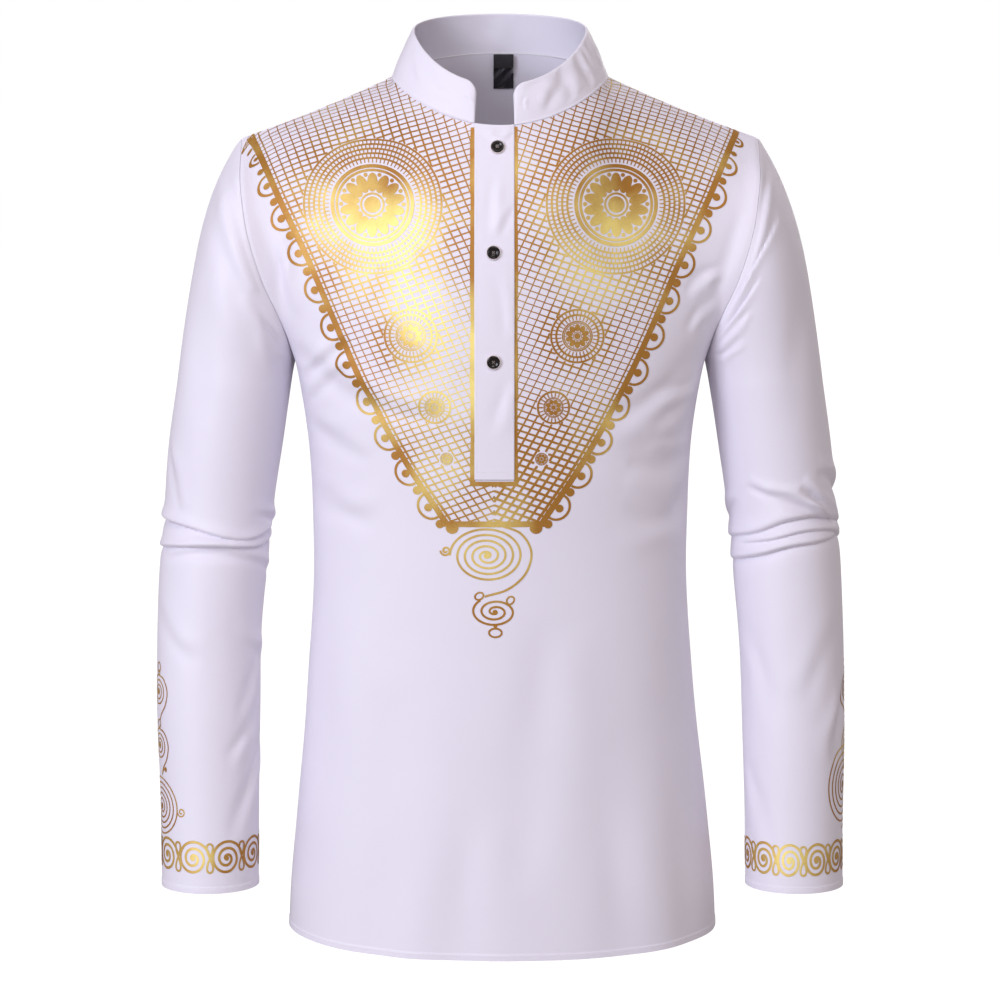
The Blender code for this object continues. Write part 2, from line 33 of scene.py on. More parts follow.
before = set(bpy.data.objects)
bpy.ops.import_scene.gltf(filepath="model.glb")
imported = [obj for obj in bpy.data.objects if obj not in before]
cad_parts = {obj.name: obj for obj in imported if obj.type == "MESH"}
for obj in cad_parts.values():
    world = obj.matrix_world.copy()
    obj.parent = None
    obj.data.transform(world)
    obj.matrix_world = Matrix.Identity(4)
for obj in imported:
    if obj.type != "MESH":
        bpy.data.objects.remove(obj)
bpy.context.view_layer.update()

# Driving dimensions, the same as those of the solids
WALL = 0.0012
COLLAR_WALL = 0.0020
LABEL_WALL = 0.0006
SEAM_GAP = 0.0003
HEM_Z = -0.749
UNDERARM_Z = -0.240
SIDE_X = 0.1785
SIDE_Y = 0.005
HEM_SIDE_RISE = 0.008
HEM_RISE_REACH = 0.150
ROW_DIP = 0.045
SECTION_SQUARENESS = 0.77
NECK_HALF_WIDTH = 0.0935
NECK_SIDE_Z = 0.0015
NECK_FRONT_DEPTH = 0.080
NECK_FRONT_DROP = 0.0415
NECK_BACK_DEPTH = 0.072
NECK_BACK_RISE = 0.0205
SHOULDER_X = 0.2235
SHOULDER_Z = -0.0510
COLLAR_HEIGHT = 0.0340
COLLAR_SIDE_EXTRA = 0.0060
COLLAR_LEAN = 0.0075
COLLAR_SIDE_LEAN = 0.0100
COLLAR_LEAN_POWER = 1.2
COLLAR_CORNER_RADIUS = 0.010
PLACKET_LEFT_X = -0.0215
PLACKET_RIGHT_X = 0.0122
PLACKET_BOTTOM_Z = -0.337
LABEL_X = 0.0031
LABEL_HALF_WIDTH = 0.0088
LABEL_LENGTH = 0.0300
TAB_LENGTH = 0.0115

# Grid of each body panel: u runs across from -1 to 1, v up from the underarm to the top edge
NECK_U = 0.35
LOWER_CONTROLS = 24
UPPER_CONTROLS = 10
CONTROL_COLUMNS = 40
RELAX_PASSES = 8
RELAX_SHARE = 0.5
LEAN_STEP = 0.01
ROW_DIP_POWER = 0.6
HEM_RISE_POWER = 4
RISE_MIDDLE = 0.155
RISE_SIDE = 0.075
ARMHOLE_REACH_POWER = 4

Section = namedtuple("Section", "z half_width front back")
BODY_SECTIONS = (
    Section(-0.749, 0.1890, 0.128, 0.124),
    Section(-0.700, 0.1864, 0.124, 0.119),
    Section(-0.640, 0.1805, 0.119, 0.113),
    Section(-0.580, 0.1742, 0.116, 0.107),
    Section(-0.520, 0.1688, 0.114, 0.102),
    Section(-0.460, 0.1642, 0.113, 0.099),
    Section(-0.420, 0.1628, 0.113, 0.098),
    Section(-0.380, 0.1635, 0.114, 0.098),
    Section(-0.340, 0.1650, 0.117, 0.100),
    Section(-0.300, 0.1683, 0.120, 0.104),
    Section(-0.270, 0.1730, 0.123, 0.109),
    Section(UNDERARM_Z, SIDE_X, 0.126, 0.113),
)

Point = namedtuple("Point", "x y z")
UNDERARM_POINT = Point(SIDE_X, SIDE_Y, UNDERARM_Z)
SHOULDER_POINT = Point(SHOULDER_X, 0.0, SHOULDER_Z)
FRONT_ARMHOLE = (
    UNDERARM_POINT,
    Point(0.1810, -0.022, -0.2330),
    Point(0.1880, -0.046, -0.2080),
    Point(0.2030, -0.060, -0.1720),
    Point(0.2150, -0.060, -0.1330),
    Point(0.2220, -0.042, -0.0880),
    SHOULDER_POINT,
)
BACK_ARMHOLE = (
    UNDERARM_POINT,
    Point(0.1820, 0.032, -0.2320),
    Point(0.1900, 0.055, -0.2060),
    Point(0.2040, 0.067, -0.1700),
    Point(0.2150, 0.066, -0.1310),
    Point(0.2220, 0.047, -0.0860),
    SHOULDER_POINT,
)

SleeveSection = namedtuple("SleeveSection", "z centre_x centre_y half_width half_depth")
SLEEVE_SECTIONS = (
    SleeveSection(-0.2615, 0.2317, 0.006, 0.0499, 0.0620),
    SleeveSection(-0.3140, 0.2395, 0.007, 0.0496, 0.0590),
    SleeveSection(-0.3670, 0.2459, 0.006, 0.0478, 0.0560),
    SleeveSection(-0.4200, 0.2510, 0.002, 0.0474, 0.0540),
    SleeveSection(-0.4730, 0.2545, -0.004, 0.0460, 0.0515),
    SleeveSection(-0.5440, 0.2567, -0.012, 0.0450, 0.0495),
    SleeveSection(-0.6335, 0.2578, -0.022, 0.0430, 0.0475),
    SleeveSection(-0.7010, 0.2580, -0.030, 0.0424, 0.0470),
)
CUFF_Z = SLEEVE_SECTIONS[-1].z
SLEEVE_RADIUS = 0.050

# Creases, in millimetres. A body crease lies on the front or back as it is seen from there,
# across and up. A sleeve crease runs round the sleeve, in degrees from its outer side
# towards the front, and up. The ridge stands to the left of the path.
Crease = namedtuple("Crease", "path width trough ridge sharp", defaults=(False,))
FRONT_CREASES = (
    Crease(((-180, -226), (-128, -268), (-84, -282), (-52, -286)), 9, 2.6, 2.2),
    Crease(((178, -228), (140, -262), (112, -280), (84, -286)), 9, 2.6, 2.2),
    Crease(((-170, -256), (-148, -238), (-126, -218)), 4.5, 2.0, 2.0),
    Crease(((-164, -276), (-142, -254), (-124, -240)), 4.5, 1.8, 1.8),
    Crease(((166, -322), (160, -350), (148, -384)), 8, 2.8, 2.2),
    Crease(((172, -252), (156, -262), (130, -262)), 5, 1.6, 1.6),
    Crease(((-164, -292), (-142, -309), (-112, -324)), 8, 2.0, 1.6),
    Crease(((-166, -352), (-140, -368), (-104, -378)), 10, 2.0, 1.5),
    Crease(((164, -262), (142, -284), (116, -294)), 7, 1.7, 1.5),
    Crease(((168, -318), (140, -330), (108, -326)), 9, 2.2, 1.9),
    Crease(((166, -300), (148, -306), (128, -302)), 5, 1.0, 1.0),
    Crease(((168, -372), (138, -376), (104, -366)), 10, 1.7, 1.4),
    Crease(((38, -456), (32, -530), (22, -620), (20, -690)), 20, 2.4, 1.8),
    Crease(((-92, -520), (-100, -640), (-108, -760), (-112, -840)), 22, 2.4, 2.0),
    Crease(((88, -560), (96, -660), (106, -760), (110, -830)), 21, 2.2, 1.8),
    Crease(((-30, -620), (-34, -700), (-36, -770), (-38, -830)), 17, 1.5, 1.2),
    Crease(((146, -470), (152, -560), (160, -680), (166, -800)), 16, 1.8, 1.5),
    Crease(((-150, -430), (-154, -520), (-160, -620)), 16, 1.6, 1.2),
    Crease(((190, -160), (172, -166), (158, -182)), 4.5, 2.4, 2.2),
    Crease(((184, -186), (170, -196), (158, -214)), 4, 1.5, 1.5),
    Crease(((-204, -118), (-192, -152), (-184, -200)), 6, 2.0, 1.6),
    Crease(((-186, -150), (-188, -176), (-178, -204)), 5, 1.4, 1.2),
    Crease(((206, -112), (194, -150), (184, -196)), 6, 1.8, 1.4),
)
BACK_CREASES = (
    Crease(((-176, -220), (-120, -250), (-60, -276)), 16, 2.6, 2.0),
    Crease(((174, -222), (112, -256), (44, -290)), 16, 2.8, 2.0),
    Crease(((-168, -300), (-120, -326), (-62, -330)), 12, 1.8, 1.5),
    Crease(((168, -318), (118, -338), (52, -348)), 12, 2.0, 1.6),
    Crease(((-160, -372), (-96, -388), (-20, -380)), 13, 1.9, 1.6),
    Crease(((160, -404), (104, -414), (36, -402)), 13, 1.7, 1.4),
    Crease(((-70, -470), (-78, -600), (-86, -760), (-88, -840)), 22, 2.6, 2.0),
    Crease(((60, -440), (66, -580), (80, -760), (84, -840)), 23, 2.6, 2.2),
    Crease(((-6, -560), (-2, -680), (2, -800)), 19, 1.8, 1.5),
    Crease(((-146, -540), (-154, -660), (-160, -800)), 18, 2.0, 1.6),
    Crease(((142, -560), (150, -680), (158, -820)), 17, 1.9, 1.5),
    Crease(((-194, -110), (-160, -130), (-110, -134)), 13, 1.4, 1.1),
    Crease(((196, -120), (150, -144), (104, -150)), 13, 1.5, 1.1),
)
RIGHT_SLEEVE_CREASES = (
    Crease(((-30, -379), (22, -383), (61, -386), (88, -391), (114, -397)), 5, 4.2, 3.2, True),
    Crease(((78, -390), (99, -394), (132, -397), (165, -391), (205, -380)), 5, 2.2, 3.0, True),
    Crease(((-70, -401), (0, -407), (61, -403), (108, -403), (145, -405), (180, -400),
            (222, -394)), 4.5, 3.4, 2.8, True),
    Crease(((30, -415), (79, -408), (109, -410), (150, -419), (195, -432)), 4.5, 2.4, 2.2),
    Crease(((60, -400), (84, -402), (108, -404)), 3.2, 1.0, 1.2),
    Crease(((132, -375), (160, -380), (200, -391)), 4, 1.6, 1.6),
    Crease(((16, -318), (34, -345), (50, -374)), 6, 1.7, 1.2),
    Crease(((18, -460), (50, -485), (86, -504)), 8, 1.4, 1.2),
    Crease(((118, -476), (150, -492), (188, -507)), 5, 0.9, 2.2),
    Crease(((160, -500), (145, -526), (128, -548)), 6, 2.2, 1.4),
    Crease(((166, -546), (138, -566), (112, -586)), 6, 2.0, 1.5),
    Crease(((184, -570), (150, -606), (116, -655)), 7, 2.6, 1.8),
    Crease(((198, -376), (245, -370), (290, -377), (336, -381)), 8, 2.6, 2.2, True),
    Crease(((196, -402), (235, -397), (280, -402), (318, -410)), 6, 2.2, 2.0),
    Crease(((212, -338), (250, -352), (288, -356)), 8, 1.5, 1.3),
    Crease(((226, -440), (265, -456), (304, -462)), 9, 1.3, 1.1),
    Crease(((236, -560), (256, -600), (270, -650)), 10, 1.3, 1.0),
)
LEFT_SLEEVE_CREASES = (
    Crease(((-10, -388), (30, -380), (60, -377), (89, -380), (121, -390), (173, -398),
            (210, -402)), 6, 3.4, 3.2, True),
    Crease(((-30, -402), (0, -399), (31, -391), (69, -389), (111, -397), (150, -402)),
           5, 2.6, 2.4, True),
    Crease(((0, -391), (25, -396), (54, -399), (87, -402), (124, -411), (171, -418),
            (214, -420)), 5.5, 3.0, 2.8, True),
    Crease(((34, -384), (73, -370), (98, -361), (130, -350)), 4.5, 2.8, 2.4),
    Crease(((22, -384), (40, -370), (57, -360), (74, -351)), 4.5, 5.0, 2.6),
    Crease(((36, -380), (58, -372), (78, -364), (96, -358)), 4.0, 2.4, 2.0),
    Crease(((-30, -372), (0, -358), (24, -346), (50, -338)), 6, 4.2, 2.6),
    Crease(((62, -362), (84, -358), (108, -356)), 4, 1.3, 1.3),
    Crease(((14, -520), (30, -552), (44, -592)), 8, 3.0, 2.0),
    Crease(((146, -363), (173, -377), (198, -386)), 5, 1.8, 1.8),
    Crease(((28, -470), (60, -500), (84, -540)), 10, 1.2, 1.0),
    Crease(((150, -470), (130, -510), (118, -560)), 9, 1.3, 1.0),
    Crease(((160, -590), (136, -630), (120, -668)), 8, 1.3, 1.0),
    Crease(((196, -390), (240, -384), (285, -388), (344, -391)), 8, 2.6, 2.2, True),
    Crease(((212, -414), (255, -408), (300, -404), (350, -398)), 6, 2.2, 1.9, True),
    Crease(((222, -362), (260, -350), (304, -352)), 8, 1.6, 1.3),
    Crease(((238, -448), (275, -461), (310, -466)), 9, 1.2, 0.9),
    Crease(((232, -540), (250, -590), (262, -650)), 10, 1.3, 1.0),
)
# Creases of a sleeve's head, seen from the front or the back, measured towards its outer side
RIGHT_HEAD_CREASES = {
    "front": (
        Crease(((236, -78), (222, -120), (210, -160), (190, -206)), 6, 1.2, 2.8),
        Crease(((212, -180), (200, -206), (182, -236)), 5, 3.2, 2.0),
        Crease(((240, -120), (228, -170), (212, -230)), 9, 1.2, 1.2),
        Crease(((204, -212), (196, -232), (188, -262)), 4, 1.6, 1.2),
        Crease(((262, -180), (256, -240), (258, -300)), 12, 1.2, 1.0),
    ),
    "back": (
        Crease(((228, -96), (208, -156), (188, -226)), 8, 1.8, 1.5),
        Crease(((216, -180), (198, -212), (180, -244)), 7, 2.4, 1.5),
        Crease(((246, -140), (236, -200), (230, -262)), 12, 1.5, 1.3),
    ),
}
LEFT_HEAD_CREASES = {
    "front": (
        Crease(((233, -70), (221, -112), (213, -150), (198, -190)), 3.4, 1.9, 2.0),
        Crease(((238, -116), (227, -138), (207, -176), (186, -214)), 3.3, 2.4, 2.2, True),
        Crease(((222, -168), (203, -198), (186, -222)), 3.2, 2.0, 1.8, True),
        Crease(((212, -196), (198, -214), (184, -232)), 3.0, 1.5, 1.4),
        Crease(((206, -220), (196, -232), (186, -240)), 3.0, 1.2, 1.2),
        Crease(((262, -170), (254, -240), (256, -300)), 12, 1.2, 1.0),
    ),
    "back": (
        Crease(((228, -96), (208, -156), (188, -226)), 8, 2.0, 1.6),
        Crease(((216, -180), (198, -212), (180, -244)), 7, 2.4, 1.6),
        Crease(((244, -150), (234, -206), (228, -270)), 11, 1.5, 1.3),
    ),
}


# Curves and surfaces

TURN = 2 * math.pi
OVER_SHOULDER = 0.058
UP_TO_NECK = {False: (0.0, -0.022, -0.050), True: (0.0, 0.020, -0.060)}
FRONT_DROP_POWER = 1.7
BACK_RISE_POWER = 1.3
SHOULDER_SAG = 0.002


def stacked(*parts):
    return np.stack(parts, axis=-1)


def heading(angle):
    return np.array([math.cos(angle), math.sin(angle)])


def unit(ways):
    return ways / np.linalg.norm(ways, axis=-1, keepdims=True)


def left_of(way):
    return stacked(-way[:, 1], way[:, 0])


def point_at(row, x):
    """The point at a distance x across, on a row of points that runs across."""
    return [np.interp(x, row[:, 0], row[:, k]) for k in range(3)]


def smooth_table(x, xs, ys):
    """Cubic curve through a table's points, with the mean slope of its neighbours at each."""
    xs = np.asarray(xs, float)
    ys = np.asarray(ys, float)
    slopes = np.gradient(ys, xs, axis=0)
    x = np.asarray(x, float)
    i = np.clip(np.searchsorted(xs, x) - 1, 0, len(xs) - 2)
    step = xs[i + 1] - xs[i]
    t = np.clip((x - xs[i]) / step, 0.0, 1.0)
    t = t.reshape(x.shape + (1,) * (ys.ndim - 1))
    step = step.reshape(t.shape)
    return ((1 + 2 * t) * (1 - t) ** 2 * ys[i] + t * (1 - t) ** 2 * step * slopes[i]
            + t * t * (3 - 2 * t) * ys[i + 1] - t * t * (1 - t) * step * slopes[i + 1])


def run_length(points):
    """Length along a path up to each of its points."""
    return np.concatenate(([0.0], np.cumsum(np.linalg.norm(np.diff(points, axis=0), axis=1))))


def at_lengths(points, lengths, at):
    return np.stack([np.interp(at, lengths, points[:, k]) for k in range(points.shape[1])],
                    axis=-1)


def smooth_path(points, steps):
    """A smooth path through points, at equal steps of length."""
    points = np.asarray(points, float)
    knots = run_length(points)
    fine = smooth_table(np.linspace(0.0, knots[-1], 200), knots, points)
    length = run_length(fine)
    return at_lengths(fine, length, np.linspace(0.0, length[-1], steps + 1))


def smooth_step(x, low, high):
    t = np.clip((x - low) / (high - low), 0.0, 1.0)
    return t * t * (3 - 2 * t)


def body_ring(u, z, back):
    """The point at u on the body's level ring at height z."""
    zs = [s.z for s in BODY_SECTIONS]
    half_width = smooth_table(z, zs, [s.half_width for s in BODY_SECTIONS])
    depth = smooth_table(z, zs, [s.back if back else s.front for s in BODY_SECTIONS])
    angle = u * math.pi / 2
    swell = np.maximum(np.cos(angle), 0.0) ** SECTION_SQUARENESS
    y = SIDE_Y + (depth if back else -depth) * swell
    return stacked(half_width * np.sin(angle), y, z + 0.0 * angle)


def neck_point(angle, back):
    """The neck seam at an angle from the middle: 0 at the front or back, 90 degrees at a side."""
    reach = np.maximum(np.cos(angle), 0.0)
    x = NECK_HALF_WIDTH * np.sin(angle)
    if back:
        y = NECK_BACK_DEPTH * reach
        z = NECK_SIDE_Z + NECK_BACK_RISE * reach ** BACK_RISE_POWER
    else:
        y = -NECK_FRONT_DEPTH * reach
        z = NECK_SIDE_Z - NECK_FRONT_DROP * reach ** FRONT_DROP_POWER
    return stacked(x, y, z)


def top_edge(u, back):
    """The panel's upper edge: the neck seam in the middle and a shoulder seam on each side."""
    side = np.sign(u)
    along = np.clip((np.abs(u) - NECK_U) / (1 - NECK_U), 0.0, 1.0)
    x = NECK_HALF_WIDTH + (SHOULDER_X - NECK_HALF_WIDTH) * along
    z = NECK_SIDE_Z + (SHOULDER_Z - NECK_SIDE_Z) * along - SHOULDER_SAG * np.sin(math.pi * along)
    shoulder = stacked(side * x, 0.0 * x, z)
    angle = np.clip(u / NECK_U, -1.0, 1.0) * math.pi / 2
    return np.where((np.abs(u) > NECK_U)[:, None], shoulder, neck_point(angle, back))


def top_tangent(u, back):
    """How the cloth comes up to the top edge: over the shoulder, or up to the neck seam."""
    to_neck = np.cos(np.clip(u / NECK_U, -1.0, 1.0) * math.pi / 2) ** 2
    facing = 1.0 if back else -1.0
    over_shoulder = np.array([0.0, facing * OVER_SHOULDER, 0.0])
    return over_shoulder + to_neck[:, None] * (np.array(UP_TO_NECK[back]) - over_shoulder)


def underarm_row(u):
    """Height of the row through the underarm points, which dips towards the middle."""
    return UNDERARM_Z - ROW_DIP * np.maximum(np.cos(u * math.pi / 2), 0.0) ** ROW_DIP_POWER


def lower_row(u, part, back):
    """One row between the hem, part 0, and the underarm row, part 1."""
    z = HEM_Z + (underarm_row(u) - HEM_Z) * part
    fade = np.clip(1 - (z - HEM_Z) / HEM_RISE_REACH, 0.0, 1.0)
    rise = HEM_SIDE_RISE * np.sin(u * math.pi / 2) ** HEM_RISE_POWER * fade
    return body_ring(u, z + rise, back)


def upper_row(u, v, armhole, back):
    """One row of the panel above the underarm."""
    start = underarm_row(u)
    low = body_ring(u, start, back)
    lean = (low - body_ring(u, start - LEAN_STEP, back)) / LEAN_STEP
    rise = RISE_MIDDLE - (RISE_MIDDLE - RISE_SIDE) * np.abs(u)
    high = top_edge(u, back)
    first = low + lean * rise[:, None]
    second = high + top_tangent(u, back)
    row = ((1 - v) ** 3 * low + 3 * v * (1 - v) ** 2 * first
           + 3 * v * v * (1 - v) * second + v ** 3 * high)
    edge = armhole - row[-1]
    weight = np.abs(u) ** ARMHOLE_REACH_POWER
    shift = stacked(np.sign(u) * weight * edge[0], weight * edge[1], weight * edge[2])
    return row + shift


def panel_controls(back):
    """Control grid of a body panel, hem to top edge, relaxed where neck and shoulder join."""
    u = np.linspace(-1.0, 1.0, CONTROL_COLUMNS + 1)
    armhole = smooth_path(BACK_ARMHOLE if back else FRONT_ARMHOLE, UPPER_CONTROLS)
    rows = [lower_row(u, part, back) for part in np.linspace(0.0, 1.0, LOWER_CONTROLS + 1)[:-1]]
    rows += [upper_row(u, v, point, back)
             for v, point in zip(np.linspace(0.0, 1.0, UPPER_CONTROLS + 1), armhole)]
    grid = np.array(rows)
    first = LOWER_CONTROLS - 2
    for _ in range(RELAX_PASSES):
        inner = grid[first:-1, 1:-1]
        mean = (grid[first - 1:-2, 1:-1] + grid[first + 1:, 1:-1]
                + grid[first:-1, :-2] + grid[first:-1, 2:]) / 4
        grid[first:-1, 1:-1] = inner + RELAX_SHARE * (mean - inner)
    return grid


def grid_normals(grid, closed):
    """Unit normals of a grid of points, which closes on itself across when closed is true."""
    if closed:
        across = np.roll(grid, -1, axis=1) - np.roll(grid, 1, axis=1)
    else:
        across = np.gradient(grid, axis=1)
    return unit(np.cross(across, np.gradient(grid, axis=0)))


# Creases

PATH_STEPS = 24
CREASE_REACH = 6
SHARP_RISE = 0.22
SHARP_RIDGE = 1.7
SHARP_TROUGH = 0.9
SOFT_RIDGE_PLACE = 1.6
SOFT_RIDGE_WIDTH = 1.2
END_FADE_POWER = 0.7
UNEVEN = 0.22
UNEVEN_RATE = 7.0
UNEVEN_SHIFT = 2.1
LEAST_WIDTH = 0.85
WIDTH_SWELL = 0.3
WIDTH_RATE = 4.0
MM = 0.001


def path_offset(points, path):
    """Distance from a path, positive to its left, and how far along it the nearest place is."""
    fine = smooth_path(path, PATH_STEPS)
    best = np.full(len(points), np.inf)
    signed = np.zeros(len(points))
    share = np.zeros(len(points))
    for k in range(PATH_STEPS):
        way = fine[k + 1] - fine[k]
        part = np.clip((points - fine[k]) @ way / (way @ way), 0.0, 1.0)
        offset = points - fine[k] - part[:, None] * way
        distance = np.hypot(offset[:, 0], offset[:, 1])
        side = way[0] * offset[:, 1] - way[1] * offset[:, 0]
        nearer = distance < best
        best[nearer] = distance[nearer]
        signed[nearer] = np.copysign(distance, side)[nearer]
        share[nearer] = (k + part[nearer]) / PATH_STEPS
    return signed, share


def crease_height(across, up, creases, path_scale):
    """Height of the creases at points of a cloth, whose paths are scaled to its coordinates."""
    points = stacked(across.ravel(), up.ravel())
    height = np.zeros(len(points))
    for number, crease in enumerate(creases):
        path = np.array(crease.path) * path_scale
        width = crease.width / 1000
        reach = CREASE_REACH * width
        near = np.all((points > path.min(axis=0) - reach) & (points < path.max(axis=0) + reach),
                      axis=1)
        signed, share = path_offset(points[near], path)
        uneven = 1 + UNEVEN * np.sin(UNEVEN_RATE * share + UNEVEN_SHIFT * number)
        fade = np.sin(math.pi * share) ** END_FADE_POWER * uneven
        width = width * (LEAST_WIDTH + WIDTH_SWELL * np.sin(WIDTH_RATE * share + number) ** 2)
        if crease.sharp:
            over = np.clip(signed, 0.0, None) / width
            rise = np.exp(-over / SHARP_RISE)
            ridge = crease.ridge * (1 - rise) * np.exp(-(over / SHARP_RIDGE) ** 2)
            below = np.exp(signed / (SHARP_TROUGH * width))
            trough = crease.trough * np.where(signed < 0, below, rise)
        else:
            over = (signed - SOFT_RIDGE_PLACE * width) / (SOFT_RIDGE_WIDTH * width)
            ridge = crease.ridge * np.exp(-over ** 2)
            trough = crease.trough * np.exp(-(signed / width) ** 2)
        height[near] += fade * (ridge - trough) / 1000
    return height.reshape(across.shape)


Wave = namedtuple("Wave", "across up share")
FAINT_WAVES = (Wave(38, 9, 1.0), Wave(21, -31, 1.0), Wave(60, 24, 0.5), Wave(16, 55, 0.6))
WAVE_HEIGHT = 0.00022


def faint_waves(across, up, seed):
    """Very shallow, broad unevenness of hanging cloth, under half a millimetre."""
    turn = np.random.default_rng(seed).uniform(0.0, TURN, 6)
    return WAVE_HEIGHT * sum(
        np.sin(wave.across * across + wave.up * up + start) * wave.share
        for wave, start in zip(FAINT_WAVES, turn))


# Meshes

WALL_SHARP_DEGREES = 60
BUTTON_SHARP_DEGREES = 40


def add_object(name, data):
    thing = bpy.data.objects.new(name, data)
    bpy.context.scene.collection.objects.link(thing)
    return thing


def mesh_object(name, points, faces, material, uv=None):
    """A mesh object whose faces point out, with its pattern coordinates as a UV map."""
    mesh = bpy.data.meshes.new(name)
    mesh.from_pydata(np.asarray(points).tolist(), [], faces)
    if uv is not None:
        layer = mesh.uv_layers.new(name="Pattern")
        corners = np.zeros(len(mesh.loops), int)
        mesh.loops.foreach_get("vertex_index", corners)
        layer.data.foreach_set("uv", np.asarray(uv, np.float32)[corners].ravel())
    mesh.shade_smooth()
    mesh.materials.append(material)
    thing = add_object(name, mesh)
    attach(thing, "root")
    return thing


def face_out(thing, sharp_degrees):
    work = bmesh.new()
    work.from_mesh(thing.data)
    bmesh.ops.recalc_face_normals(work, faces=work.faces)
    if work.calc_volume(signed=True) < 0:
        bmesh.ops.reverse_faces(work, faces=work.faces)
    work.to_mesh(thing.data)
    work.free()
    thing.data.set_sharp_from_angle(angle=math.radians(sharp_degrees))
    return thing


def wall_object(name, outer, inner, closed, material, uv):
    """A thin closed wall between two grids of points."""
    rows, columns = outer.shape[:2]
    count = rows * columns
    points = np.concatenate([outer.reshape(-1, 3), inner.reshape(-1, 3)])
    faces = []

    def at(row, column):
        return row * columns + column % columns

    for i in range(rows - 1):
        for j in range(columns if closed else columns - 1):
            quad = (at(i, j), at(i, j + 1), at(i + 1, j + 1), at(i + 1, j))
            faces.append(quad)
            faces.append(tuple(k + count for k in reversed(quad)))
    for j in range(columns if closed else columns - 1):
        for row, turn in ((0, 1), (rows - 1, -1)):
            rim = (at(row, j + 1), at(row, j), at(row, j) + count, at(row, j + 1) + count)
            faces.append(rim[::turn])
    if not closed:
        for i in range(rows - 1):
            for column, turn in ((0, 1), (columns - 1, -1)):
                rim = (at(i, column), at(i + 1, column),
                       at(i + 1, column) + count, at(i, column) + count)
                faces.append(rim[::turn])
    both = np.concatenate([uv.reshape(-1, 2), uv.reshape(-1, 2)])
    return face_out(mesh_object(name, points, faces, material, both), WALL_SHARP_DEGREES)


# Materials

def new_material(name, colour, roughness, metallic=0.0):
    """A material with its node tree, its shader and a maker of linked nodes."""
    material = bpy.data.materials.new(name)
    material.use_nodes = True
    tree = material.node_tree
    shader = tree.nodes["Principled BSDF"]
    shader.inputs["Base Color"].default_value = (*colour, 1.0)
    shader.inputs["Roughness"].default_value = roughness
    shader.inputs["Metallic"].default_value = metallic

    def node(kind, inputs=None, **settings):
        made = tree.nodes.new(kind)
        for key, value in settings.items():
            setattr(made, key, value)
        for key, value in (inputs or {}).items():
            if isinstance(value, bpy.types.NodeSocket):
                tree.links.new(value, made.inputs[key])
            else:
                made.inputs[key].default_value = value
        return made

    return material, tree, shader, node


def mixed_colour(node, factor, low, high):
    mix = node("ShaderNodeMix", {"Factor": factor}, data_type="RGBA")
    mix.inputs["A"].default_value = (*low, 1.0)
    mix.inputs["B"].default_value = (*high, 1.0)
    return mix.outputs["Result"]


def relief(tree, shader, node, height, strength, distance):
    bump = node("ShaderNodeBump", {"Height": height, "Strength": strength,
                                   "Distance": distance})
    tree.links.new(bump.outputs["Normal"], shader.inputs["Normal"])


def cloth_material(name, low, high, thread_scale, weave):
    """Smooth shirting: two close whites in soft patches, a fine weave and a faint sheen."""
    material, tree, shader, node = new_material(name, high, 0.5)
    place = node("ShaderNodeTexCoord")
    patches = node("ShaderNodeTexNoise", {"Vector": place.outputs["Object"], "Scale": 7.0,
                                          "Detail": 3.0, "Roughness": 0.55})
    tree.links.new(mixed_colour(node, patches.outputs["Fac"], low, high),
                   shader.inputs["Base Color"])
    gloss = node("ShaderNodeMapRange", {"Value": patches.outputs["Fac"], "To Min": 0.44,
                                        "To Max": 0.56})
    tree.links.new(gloss.outputs["Result"], shader.inputs["Roughness"])
    threads = []
    for direction in ("X", "Y"):
        wave = node("ShaderNodeTexWave", {"Vector": place.outputs["UV"], "Scale": thread_scale,
                                          "Distortion": 0.6, "Detail": 1.0},
                    wave_type="BANDS", bands_direction=direction)
        threads.append(wave.outputs["Fac"])
    cross = node("ShaderNodeMath", {0: threads[0], 1: threads[1]}, operation="ADD")
    slub = node("ShaderNodeTexNoise", {"Vector": place.outputs["Object"], "Scale": 420.0,
                                       "Detail": 2.0})
    height = node("ShaderNodeMath", {0: cross.outputs[0], 1: slub.outputs["Fac"]},
                  operation="ADD")
    relief(tree, shader, node, height.outputs[0], weave, 0.0004)
    shader.inputs["Sheen Weight"].default_value = 0.15
    shader.inputs["Sheen Roughness"].default_value = 0.4
    shader.inputs["Specular IOR Level"].default_value = 0.35
    return material


# Painted highlights on the foil: centres where bright yellow is painted into its colour as if
# light gleamed there, and how far each reaches
PaintedHighlight = namedtuple("PaintedHighlight", "centre reach")
PAINTED_HIGHLIGHTS = (
    PaintedHighlight((-0.112, -0.125, -0.140), 0.105),
    PaintedHighlight((0.090, -0.120, -0.140), 0.090),
    PaintedHighlight((-0.034, -0.125, -0.250), 0.070),
    PaintedHighlight((-0.045, -0.120, -0.330), 0.050),
    PaintedHighlight((-0.010, -0.120, -0.400), 0.060),
    PaintedHighlight((-0.060, -0.130, -0.200), 0.060),
    PaintedHighlight((-0.258, -0.082, -0.668), 0.026),
    PaintedHighlight((0.247, -0.082, -0.668), 0.026),
)
FOIL_DULL = (0.43, 0.20, 0.03)
# Bright yellow that the broad mottle and the painted highlights turn the foil towards
FOIL_BRIGHT = (1.0, 0.84, 0.27)
FOIL_MIDDLE = (0.8, 0.5, 0.15)


